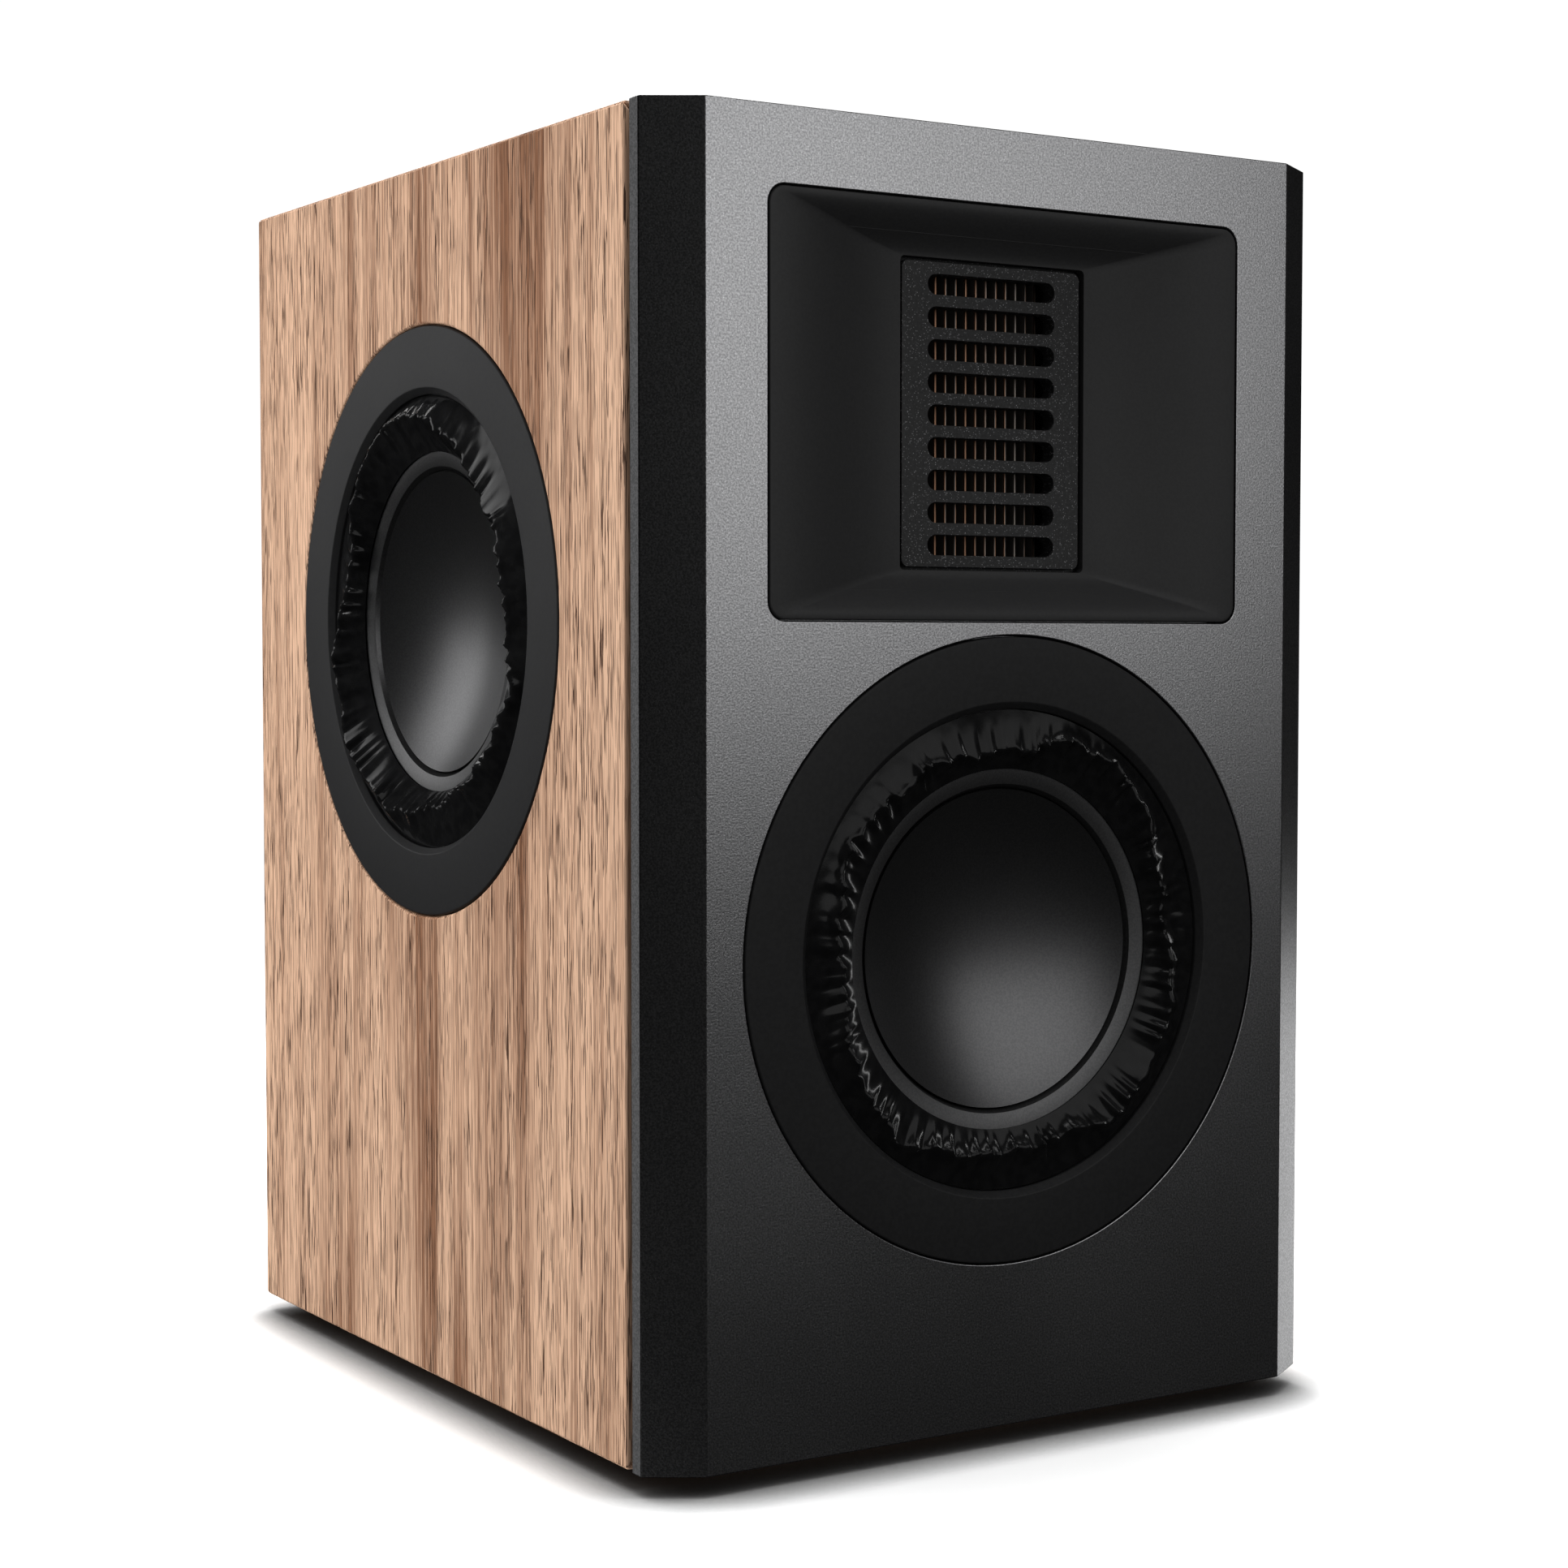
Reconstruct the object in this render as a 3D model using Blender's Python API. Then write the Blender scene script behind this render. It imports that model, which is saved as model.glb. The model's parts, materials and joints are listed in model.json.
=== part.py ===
"""Compact two-way bookshelf speaker with a pleated tweeter and two side passive radiators.

+Z is up and the front faces -Y. The origin is on the surface that the speaker stands on,
under the middle of its box. All sizes are in metres. Turned and plate pieces are drawn in
the frame of their own axis, where local +Z points into the cabinet and 0 is its outer face.
"""

import math

import bmesh
import bpy
from mathutils import Vector

MM = 0.001
GAP = 0.3 * MM

# Cabinet
WIDTH = 162 * MM
DEPTH = 190 * MM
BODY_HEIGHT = 256 * MM
FOOT_HEIGHT = 4 * MM
WALL = 12 * MM
BAFFLE_THICKNESS = 10 * MM
CHAMFER_WIDTH = 10.6 * MM
CHAMFER_DEPTH = 6.6 * MM
SHADOW_GAP = 2 * MM
SEAL_INSET = 2 * MM
SEAL_WIDTH = 9.5 * MM
BRACE_THICKNESS = 9 * MM
BRACE_WINDOW = (100 * MM, 192 * MM)
BRACE_SETBACK = 39 * MM
FOOT_RADIUS = 10 * MM
FOOT_INSET = 20 * MM
FOAM_SIZE = (116 * MM, 92 * MM, 20 * MM)

# Axes of the drivers, their heights taken from the underside of the cabinet
WOOFER_HEIGHT = 95 * MM
TWEETER_HEIGHT = 200.7 * MM
RADIATOR_HEIGHT = 160.5 * MM
WOOD_FRONT = BAFFLE_THICKNESS + SHADOW_GAP
RADIATOR_SETBACK = (WOOD_FRONT + DEPTH) / 2

# Woofer and radiators
ROUND_STEPS = 32
HIDDEN_STEPS = 24
TRIM_OUTER = 62.2 * MM
TRIM_INNER = 48 * MM
TRIM_THICKNESS = 2.7 * MM
TRIM_EDGE = 0.4 * MM
TRIM_LIP = 1.2 * MM
FLANGE_RADIUS = 55.7 * MM
FLANGE_THICKNESS = 3.3 * MM
GASKET_THICKNESS = 0.8 * MM
MOUNTING_HOLE = 50.5 * MM
THROAT_RADIUS = 43.8 * MM
SURROUND_OUTER = 47.7 * MM
SURROUND_INNER = 36.8 * MM
SURROUND_THICKNESS = 1 * MM
CONE_RADIUS = 36.4 * MM
CONE_RIM_DEPTH = 3.5 * MM
CONE_LIP_RADIUS = 32.3 * MM
DISH_RADIUS = 31.9 * MM
DISH_RIM_DEPTH = 5 * MM
DISH_SINK = 9 * MM
DISH_THICKNESS = 1 * MM
DISH_RINGS = 3

# Woofer motor
COIL_RADIUS = 12.2 * MM
FORMER_WALL = 0.4 * MM
FORMER_DEPTHS = (22 * MM, 42 * MM)
WINDING_WALL = 0.9 * MM
WINDING_DEPTHS = (32.5 * MM, 42.5 * MM)
SPIDER_DEPTH = 29.3 * MM
SPIDER_RADII = (14.6 * MM, 33 * MM)
SPIDER_RIPPLES = 6
BASKET_DEPTH = 35.7 * MM
BASKET_FLOOR = 2.3 * MM
BASKET_WAIST = 38.5 * MM
BASKET_SHOULDER = 46 * MM
BASKET_BORE = 16 * MM
SPIDER_LEDGE = 29.5 * MM
WINDOW_WIDTH = 25 * MM
WINDOW_COUNT = 6
WINDOW_REACH = (30 * MM, 60 * MM)
TOP_PLATE_THICKNESS = 5 * MM
MAGNET_THICKNESS = 15.4 * MM
BACK_PLATE_THICKNESS = 5 * MM
MAGNET_RADIUS = 36 * MM
MAGNET_BORE = 18 * MM
MAGNET_SLACK = 0.7 * MM
TOP_PLATE_RADIUS = 34 * MM
YOKE_RADIUS = 33 * MM
POLE_RADIUS = 11.7 * MM
POLE_VENT = 4 * MM

# Radiator
RADIATOR_FRAME_DEPTH = 14 * MM
WEIGHT_RADIUS = 12 * MM
WEIGHT_THICKNESS = 5 * MM
WEIGHT_DEPTH = 18.5 * MM

# Tweeter
GUIDE_SIZE = (113.4 * MM, 80.8 * MM)
GUIDE_CORNER = 3.4 * MM
GUIDE_RIM = 4 * MM
GUIDE_BODY = (98 * MM, 69 * MM)
GUIDE_DEPTH = 9.4 * MM
THROAT_SIZE = (45 * MM, 61 * MM)
THROAT_DEPTH = 7 * MM
SLOT_LAND = (43.4 * MM, 59.6 * MM)
SLOT_LAND_DEPTH = 7.6 * MM
SLOT_FLANGE = (66 * MM, 68 * MM)
SLOT_FLANGE_DEPTHS = (9.7 * MM, 11.2 * MM)
SLOT_SIZE = (31 * MM, 4 * MM)
SLOT_PITCH = 6.37 * MM
SLOT_COUNT = 9
FILM_PLEATS = 13
FILM_PITCH = 2.46 * MM
FILM_DEPTHS = (13 * MM, 18 * MM)
FILM_THICKNESS = 0.4 * MM
FILM_HEIGHT = 57.4 * MM
CARRIER_SIZE = (44 * MM, 64 * MM)
CARRIER_WINDOW = (34 * MM, 58 * MM)
MOTOR_DEPTH = 21 * MM
REAR_POLE_THICKNESS = 2 * MM
CHAMBER_DEPTH = 45 * MM
CHAMBER_WALL = 2.5 * MM

# Terminal cup and binding posts
CUP_HEIGHT = 56 * MM
CUP_FLANGE = (70 * MM, 54 * MM)
CUP_FLANGE_THICKNESS = 2.7 * MM
CUP_MOUTH = (58 * MM, 42 * MM)
CUP_FLOOR = (52 * MM, 36 * MM)
CUP_CORNER = 6 * MM
CUP_DEPTH = 18 * MM
CUP_WALL = 2.5 * MM
POST_SPACING = 19.05 * MM
POST_STEPS = 16
STUD_RADIUS = 2.8 * MM
STUD_BORE = 2 * MM
STUD_END = 1.5 * MM
STUD_TAIL = 27 * MM
COLLAR_RADIUS = 6.5 * MM
COLLAR_THICKNESS = 2 * MM
WASHER_THICKNESS = 1.2 * MM
KNOB_RADIUS = 7 * MM
KNOB_LENGTH = 13 * MM
KNOB_FLUTES = 12
KNOB_FLUTE_DEPTH = 0.5 * MM

# Crossover
BOARD_SIZE = (88 * MM, 60 * MM)
BOARD_THICKNESS = 1.6 * MM
BOARD_DEPTH = 24 * MM
BOARD_LIFT = 6 * MM
INDUCTOR_RADII = (7 * MM, 15 * MM)
INDUCTOR_LENGTH = 14 * MM
RESISTOR_SIZE = (36 * MM, 9 * MM, 9 * MM)
LEAD_RADIUS = 1.2 * MM

# Derived levels
FRONT = -DEPTH / 2
BACK = DEPTH / 2
SIDE = WIDTH / 2
UNDERSIDE = FOOT_HEIGHT
TOP = FOOT_HEIGHT + BODY_HEIGHT
FLANGE_DEPTH = TRIM_THICKNESS + GAP
GASKET_DEPTH = FLANGE_DEPTH + FLANGE_THICKNESS + GAP
SHELF_DEPTH = GASKET_DEPTH + GASKET_THICKNESS + GAP

# Finishes: colour, roughness, metallic
FINISHES = {
    "anodised_grey": ((0.13, 0.13, 0.135), 0.42, 0.9),
    "walnut": ((0.52, 0.34, 0.23), 0.55, 0.0),
    "satin_black": ((0.018, 0.018, 0.019), 0.5, 0.0),
    "speckled_black": ((0.03, 0.03, 0.031), 0.6, 0.2),
    "gloss_rubber": ((0.008, 0.008, 0.008), 0.18, 0.0),
    "cone_grey": ((0.05, 0.05, 0.052), 0.42, 0.2),
    "black_rubber": ((0.012, 0.012, 0.012), 0.8, 0.0),
    "cast_grey": ((0.06, 0.06, 0.06), 0.6, 0.6),
    "ferrite": ((0.035, 0.035, 0.037), 0.75, 0.1),
    "plated_steel": ((0.55, 0.55, 0.53), 0.32, 1.0),
    "copper": ((0.72, 0.34, 0.2), 0.35, 1.0),
    "brass": ((0.75, 0.56, 0.28), 0.28, 1.0),
    "fibreboard": ((0.32, 0.25, 0.17), 0.75, 0.0),
    "former_paper": ((0.36, 0.28, 0.15), 0.5, 0.0),
    "board_green": ((0.04, 0.16, 0.08), 0.45, 0.0),
    "ceramic": ((0.75, 0.73, 0.68), 0.6, 0.0),
    "red_plastic": ((0.45, 0.03, 0.03), 0.35, 0.0),
    "foam": ((0.06, 0.06, 0.065), 0.95, 0.0),
    "spider_cloth": ((0.5, 0.33, 0.12), 0.85, 0.0),
    "pleated_film": ((0.4, 0.22, 0.13), 0.4, 0.5),
}


def clear_scene():
    for item in list(bpy.data.objects):
        bpy.data.objects.remove(item, do_unlink=True)


def finish(name):
    made = bpy.data.materials.get(name)
    if made is None:
        colour, roughness, metallic = FINISHES[name]
        made = bpy.data.materials.new(name)
        made.use_nodes = True
        shader = made.node_tree.nodes["Principled BSDF"]
        shader.inputs["Base Color"].default_value = (*colour, 1.0)
        shader.inputs["Roughness"].default_value = roughness
        shader.inputs["Metallic"].default_value = metallic
    return made


def axis_empty(name, location, rotation=(0.0, 0.0, 0.0), parent=None):
    empty = bpy.data.objects.new(name, None)
    empty.location = location
    empty.rotation_euler = rotation
    empty.parent = parent
    bpy.context.scene.collection.objects.link(empty)
    return empty


def mesh_from(bm, name, smooth=False):
    bmesh.ops.remove_doubles(bm, verts=bm.verts, dist=0.001 * MM)
    bmesh.ops.recalc_face_normals(bm, faces=bm.faces)
    mesh = bpy.data.meshes.new(name)
    bm.to_mesh(mesh)
    bm.free()
    if smooth:
        mesh.shade_smooth()
        mesh.set_sharp_from_angle(angle=math.radians(35))
    return mesh


def place(name, mesh, finish_name, parent=None, location=(0.0, 0.0, 0.0), rotation=(0.0, 0.0, 0.0)):
    piece = bpy.data.objects.new(name, mesh)
    piece.data.materials.clear()
    piece.data.materials.append(finish(finish_name))
    piece.parent = parent
    piece.location = location
    piece.rotation_euler = rotation
    bpy.context.scene.collection.objects.link(piece)
    return piece


def cut(piece, cutter_mesh, parent):
    cutter = place(f"{piece.name}_cutter", cutter_mesh, "satin_black", parent)
    cutter.hide_render = True
    cutter.display_type = "WIRE"
    modifier = piece.modifiers.new("opening", "BOOLEAN")
    modifier.operation = "DIFFERENCE"
    modifier.solver = "EXACT"
    modifier.object = cutter


# Shapes


def box_mesh(name, low, high):
    bm = bmesh.new()
    bmesh.ops.create_cube(bm, size=1)
    low = Vector(low)
    high = Vector(high)
    bmesh.ops.scale(bm, vec=high - low, verts=bm.verts)
    bmesh.ops.translate(bm, vec=(low + high) / 2, verts=bm.verts)
    return mesh_from(bm, name)


def prisms_mesh(name, outlines, along):
    """Flat outlines of 3-D points, each drawn out along the same vector."""
    bm = bmesh.new()
    for outline in outlines:
        face = bm.faces.new([bm.verts.new(point) for point in outline])
        drawn = bmesh.ops.extrude_face_region(bm, geom=[face])["geom"]
        moved = [item for item in drawn if isinstance(item, bmesh.types.BMVert)]
        bmesh.ops.translate(bm, vec=along, verts=moved)
    return mesh_from(bm, name)


def turned_mesh(name, outline, steps=ROUND_STEPS):
    """A closed outline of (radius, depth) points, turned about the depth axis."""
    bm = bmesh.new()
    corners = [bm.verts.new((radius, 0.0, depth)) for radius, depth in outline]
    on_axis = outline[0][0] == 0.0 and outline[-1][0] == 0.0
    pairs = zip(corners, corners[1:] if on_axis else corners[1:] + corners[:1])
    edges = [bm.edges.new(pair) for pair in pairs]
    bmesh.ops.spin(
        bm,
        geom=corners + edges,
        cent=(0.0, 0.0, 0.0),
        axis=(0.0, 0.0, 1.0),
        angle=math.tau,
        steps=steps,
        use_merge=True,
    )
    return mesh_from(bm, name, smooth=True)


def ring_outline(inner, outer, start, end):
    return [(inner, start), (outer, start), (outer, end), (inner, end)]


def place_ring(name, sizes, finish_name, parent, steps=HIDDEN_STEPS):
    """A plain ring, its sizes given as inner radius, outer radius, first and last depth."""
    return place(name, turned_mesh(name, ring_outline(*sizes), steps), finish_name, parent)


def rounded_rectangle(size, corner, depth, steps=3):
    """Points of a rectangle with round corners, centred on the axis, at one depth."""
    points = []
    for quarter, (side_x, side_y) in enumerate(((1, 1), (-1, 1), (-1, -1), (1, -1))):
        centre_x = side_x * (size[0] / 2 - corner)
        centre_y = side_y * (size[1] / 2 - corner)
        for step in range(steps + 1):
            turn = math.pi / 2 * (quarter + step / steps)
            points.append(
                (centre_x + corner * math.cos(turn), centre_y + corner * math.sin(turn), depth)
            )
    return points


def lofted_mesh(name, loops, capped=False):
    """Joins each loop of points to the next. The ends are capped, or joined to each other."""
    bm = bmesh.new()
    rims = [[bm.verts.new(point) for point in loop] for loop in loops]
    following = rims[1:] if capped else rims[1:] + rims[:1]
    for rim, other in zip(rims, following):
        for index in range(len(rim)):
            bm.faces.new((rim[index - 1], rim[index], other[index], other[index - 1]))
    if capped:
        bm.faces.new(rims[0])
        bm.faces.new(rims[-1])
    return mesh_from(bm, name)


# Cabinet


def driver_cutter_mesh():
    """The stepped opening for a trim ring, a flange with its gasket, and a basket."""
    seat = TRIM_OUTER + GAP
    pocket = FLANGE_RADIUS + GAP
    outline = [
        (0.0, -WALL),
        (seat, -WALL),
        (seat, FLANGE_DEPTH),
        (pocket, FLANGE_DEPTH),
        (pocket, SHELF_DEPTH),
        (MOUNTING_HOLE, SHELF_DEPTH),
        (MOUNTING_HOLE, 2 * WALL),
        (0.0, 2 * WALL),
    ]
    return turned_mesh("driver_opening", outline)


def guide_cutter_mesh():
    """The recess for the waveguide's rim, and the way through for its body."""
    rim = (GUIDE_SIZE[0] + 2 * GAP, GUIDE_SIZE[1] + 2 * GAP)
    body = (GUIDE_BODY[0] + 2 * MM, GUIDE_BODY[1] + 2 * MM)
    shelf = GUIDE_RIM + 2 * GAP + GASKET_THICKNESS
    loops = [
        rounded_rectangle(rim, GUIDE_CORNER + GAP, -WALL),
        rounded_rectangle(rim, GUIDE_CORNER + GAP, shelf),
        rounded_rectangle(body, GUIDE_CORNER, shelf),
        rounded_rectangle(body, GUIDE_CORNER, 2 * WALL),
    ]
    return lofted_mesh("guide_opening", loops, capped=True)


def build_baffle(axes):
    shoulder = SIDE - CHAMFER_WIDTH
    corner = FRONT + CHAMFER_DEPTH
    rear = FRONT + BAFFLE_THICKNESS
    outline = [
        (-SIDE, rear, UNDERSIDE),
        (-SIDE, corner, UNDERSIDE),
        (-shoulder, FRONT, UNDERSIDE),
        (shoulder, FRONT, UNDERSIDE),
        (SIDE, corner, UNDERSIDE),
        (SIDE, rear, UNDERSIDE),
    ]
    mesh = prisms_mesh("front_baffle", [outline], (0.0, 0.0, BODY_HEIGHT))
    baffle = place("front_baffle", mesh, "anodised_grey")
    cut(baffle, driver_cutter_mesh(), axes["woofer"])
    cut(baffle, guide_cutter_mesh(), axes["tweeter"])


def build_baffle_seal():
    outer = (WIDTH - 2 * SEAL_INSET, BODY_HEIGHT - 2 * SEAL_INSET)
    inner = (outer[0] - 2 * SEAL_WIDTH, outer[1] - 2 * SEAL_WIDTH)
    corner = SEAL_INSET
    start = GAP
    end = SHADOW_GAP - GAP
    loops = [
        rounded_rectangle(outer, corner, start, 1),
        rounded_rectangle(outer, corner, end, 1),
        rounded_rectangle(inner, corner, end, 1),
        rounded_rectangle(inner, corner, start, 1),
    ]
    location = (0.0, FRONT + BAFFLE_THICKNESS, UNDERSIDE + BODY_HEIGHT / 2)
    mesh = lofted_mesh("baffle_seal", loops)
    place("baffle_seal", mesh, "black_rubber", None, location, (-math.pi / 2, 0.0, 0.0))


def build_side_panel(name, side, axis):
    """One veneered side, mitred at 45 degrees to the top and bottom panels."""
    front = FRONT + WOOD_FRONT
    slack = GAP / math.sqrt(2)
    outer = side * SIDE
    inner = side * (SIDE - WALL)
    outline = [
        (outer, front, UNDERSIDE + slack),
        (outer, front, TOP - slack),
        (inner, front, TOP - WALL - slack),
        (inner, front, UNDERSIDE + WALL + slack),
    ]
    mesh = prisms_mesh(name, [outline], (0.0, BACK - front, 0.0))
    panel = place(name, mesh, "walnut")
    cut(panel, driver_cutter_mesh(), axis)


def build_level_panel(name, outer, inner, finish_name):
    """The top or bottom panel, from its outer level to its inner one, with mitred ends."""
    front = FRONT + WOOD_FRONT
    slack = GAP / math.sqrt(2)
    outline = [
        (-SIDE + slack, front, outer),
        (SIDE - slack, front, outer),
        (SIDE - WALL - slack, front, inner),
        (-SIDE + WALL + slack, front, inner),
    ]
    mesh = prisms_mesh(name, [outline], (0.0, BACK - front, 0.0))
    place(name, mesh, finish_name)


def build_rear_panel(axis):
    half_width = SIDE - WALL - GAP
    low = (-half_width, BACK - WALL, UNDERSIDE + WALL + GAP)
    high = (half_width, BACK, TOP - WALL - GAP)
    panel = place("rear_panel", box_mesh("rear_panel", low, high), "satin_black")
    flange = (CUP_FLANGE[0] + 2 * GAP, CUP_FLANGE[1] + 2 * GAP)
    bowl = (CUP_MOUTH[0] + 2 * CUP_WALL + MM, CUP_MOUTH[1] + 2 * CUP_WALL + MM)
    shelf = CUP_FLANGE_THICKNESS + GAP
    loops = [
        rounded_rectangle(flange, CUP_CORNER + GAP, -WALL),
        rounded_rectangle(flange, CUP_CORNER + GAP, shelf),
        rounded_rectangle(bowl, CUP_CORNER, shelf),
        rounded_rectangle(bowl, CUP_CORNER, 2 * WALL),
    ]
    cut(panel, lofted_mesh("cup_opening", loops, capped=True), axis)


def build_brace():
    outer = (WIDTH - 2 * (WALL + GAP), BODY_HEIGHT - 2 * (WALL + GAP))
    corner = 4 * MM
    loops = [
        rounded_rectangle(outer, corner, 0.0),
        rounded_rectangle(outer, corner, BRACE_THICKNESS),
        rounded_rectangle(BRACE_WINDOW, 3 * corner, BRACE_THICKNESS),
        rounded_rectangle(BRACE_WINDOW, 3 * corner, 0.0),
    ]
    location = (0.0, BACK - BRACE_SETBACK, UNDERSIDE + BODY_HEIGHT / 2)
    mesh = lofted_mesh("window_brace", loops)
    place("window_brace", mesh, "fibreboard", None, location, (-math.pi / 2, 0.0, 0.0))


def build_feet():
    edge = 0.6 * MM
    tall = FOOT_HEIGHT - GAP
    outline = [
        (0.0, 0.0),
        (FOOT_RADIUS - edge, 0.0),
        (FOOT_RADIUS, edge),
        (FOOT_RADIUS, tall),
        (0.0, tall),
    ]
    for end, y in (("front", FRONT + WOOD_FRONT + FOOT_INSET), ("rear", BACK - FOOT_INSET)):
        for hand, side in (("left", -1), ("right", 1)):
            mesh = turned_mesh("foot", outline, HIDDEN_STEPS)
            location = (side * (SIDE - FOOT_INSET), y, 0.0)
            place(f"foot_{end}_{hand}", mesh, "black_rubber", None, location)


def build_foam():
    """A block of open foam under the top panel, behind the tweeter."""
    width, length, tall = FOAM_SIZE
    middle = FRONT + RADIATOR_SETBACK
    roof = TOP - WALL - GAP
    low = (-width / 2, middle - length / 2, roof - tall)
    high = (width / 2, middle + length / 2, roof)
    place("damping_foam", box_mesh("damping_foam", low, high), "foam")


# Pieces that the woofer and both radiators have


def trim_ring_mesh():
    outline = [
        (TRIM_INNER, TRIM_LIP),
        (TRIM_INNER + TRIM_LIP, 0.0),
        (TRIM_OUTER - TRIM_EDGE, 0.0),
        (TRIM_OUTER, TRIM_EDGE),
        (TRIM_OUTER, TRIM_THICKNESS),
        (TRIM_INNER, TRIM_THICKNESS),
    ]
    return turned_mesh("trim_ring", outline)


def surround_mesh():
    """A rubber half-roll between the basket's rim and the edge of the cone."""
    outer_foot = THROAT_RADIUS + 0.6 * MM
    outer_face = FLANGE_DEPTH - GAP - SURROUND_THICKNESS
    inner_face = CONE_RIM_DEPTH
    crest_radius = (outer_foot + SURROUND_INNER) / 2
    crest_width = 1.8 * MM
    crest_face = outer_face - 1.1 * MM
    front = [
        (SURROUND_OUTER, outer_face),
        (outer_foot, outer_face),
        (crest_radius + crest_width, crest_face),
        (crest_radius - crest_width, crest_face),
        (SURROUND_INNER, inner_face),
    ]
    back = [(radius, depth + SURROUND_THICKNESS) for radius, depth in reversed(front)]
    return turned_mesh("surround", front + back)


def cone_rim_outline():
    """The flat grey rim and its short conical lip, from the outside in."""
    return [
        (CONE_RADIUS, CONE_RIM_DEPTH + 1.5 * MM),
        (CONE_RADIUS, CONE_RIM_DEPTH),
        (CONE_LIP_RADIUS + 0.6 * MM, CONE_RIM_DEPTH + 0.9 * MM),
        (CONE_LIP_RADIUS, CONE_RIM_DEPTH + 2.1 * MM),
        (CONE_LIP_RADIUS, CONE_RIM_DEPTH + 3.1 * MM),
    ]


def dish_mesh():
    """A shallow concave cap of part of a sphere, with an even wall."""
    sphere = (DISH_RADIUS**2 + DISH_SINK**2) / (2 * DISH_SINK)
    front = []
    for ring in range(DISH_RINGS + 1):
        radius = DISH_RADIUS * ring / DISH_RINGS
        rise = sphere - math.sqrt(sphere**2 - radius**2)
        front.append((radius, DISH_RIM_DEPTH + DISH_SINK - rise))
    back = [(radius, depth + DISH_THICKNESS) for radius, depth in reversed(front)]
    return turned_mesh("dish", front + back)


# Woofer


def basket_mesh():
    flange_back = FLANGE_DEPTH + FLANGE_THICKNESS
    seat_depth = SPIDER_DEPTH + 1.9 * MM
    floor_face = BASKET_DEPTH - BASKET_FLOOR
    outline = [
        (THROAT_RADIUS, FLANGE_DEPTH),
        (FLANGE_RADIUS, FLANGE_DEPTH),
        (FLANGE_RADIUS, flange_back),
        (MOUNTING_HOLE - 0.7 * MM, flange_back),
        (BASKET_WAIST, seat_depth),
        (MAGNET_RADIUS, BASKET_DEPTH),
        (BASKET_BORE, BASKET_DEPTH),
        (BASKET_BORE, floor_face),
        (SPIDER_LEDGE, floor_face),
        (SPIDER_LEDGE, seat_depth),
        (SPIDER_RADII[1] + 2 * GAP, seat_depth),
        (BASKET_SHOULDER, flange_back + GAP),
        (THROAT_RADIUS, flange_back - MM),
    ]
    return turned_mesh("woofer_basket", outline)


def basket_window_mesh():
    """Wedges around the axis, which cut the windows in the basket's wall."""
    inner, reach = WINDOW_REACH
    taper = 0.7
    start = GASKET_DEPTH + 3 * MM
    base = Vector((0.0, 0.0, start))
    outlines = []
    for window in range(WINDOW_COUNT):
        turn = math.tau * window / WINDOW_COUNT
        ray = Vector((math.cos(turn), math.sin(turn), 0.0))
        across = Vector((-math.sin(turn), math.cos(turn), 0.0)) * WINDOW_WIDTH / 2
        outlines.append(
            [
                base + ray * inner - across * taper,
                base + ray * reach - across,
                base + ray * reach + across,
                base + ray * inner + across * taper,
            ]
        )
    return prisms_mesh("basket_windows", outlines, (0.0, 0.0, SPIDER_DEPTH - start - MM))


def woofer_cone_mesh():
    neck = COIL_RADIUS + FORMER_WALL + GAP
    body = [
        (neck, FORMER_DEPTHS[0] + 0.5 * MM),
        (neck, FORMER_DEPTHS[0] + 2 * MM),
        (CONE_LIP_RADIUS + 1.2 * MM, CONE_RIM_DEPTH + 4.6 * MM),
    ]
    return turned_mesh("woofer_cone", cone_rim_outline() + body)


def spider_mesh():
    """Cloth pleated into rings, seen in section as a zigzag."""
    inner, outer = SPIDER_RADII
    ripple = 0.5 * MM
    thickness = 0.6 * MM
    face = []
    for step in range(SPIDER_RIPPLES + 1):
        radius = inner + (outer - inner) * step / SPIDER_RIPPLES
        face.append((radius, SPIDER_DEPTH + ripple * (step % 2)))
    back = [(radius, depth + thickness) for radius, depth in reversed(face)]
    return turned_mesh("woofer_spider", face + back, HIDDEN_STEPS)


def yoke_mesh():
    """The pole piece and back plate in one, with a vent through the middle."""
    plate_face = BASKET_DEPTH + GAP + TOP_PLATE_THICKNESS + GAP + MAGNET_THICKNESS + GAP
    outline = [
        (POLE_VENT, BASKET_DEPTH + GAP),
        (POLE_RADIUS, BASKET_DEPTH + GAP),
        (POLE_RADIUS, plate_face),
        (YOKE_RADIUS, plate_face),
        (YOKE_RADIUS, plate_face + BACK_PLATE_THICKNESS),
        (POLE_VENT, plate_face + BACK_PLATE_THICKNESS),
    ]
    return turned_mesh("woofer_yoke", outline, HIDDEN_STEPS)


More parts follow.
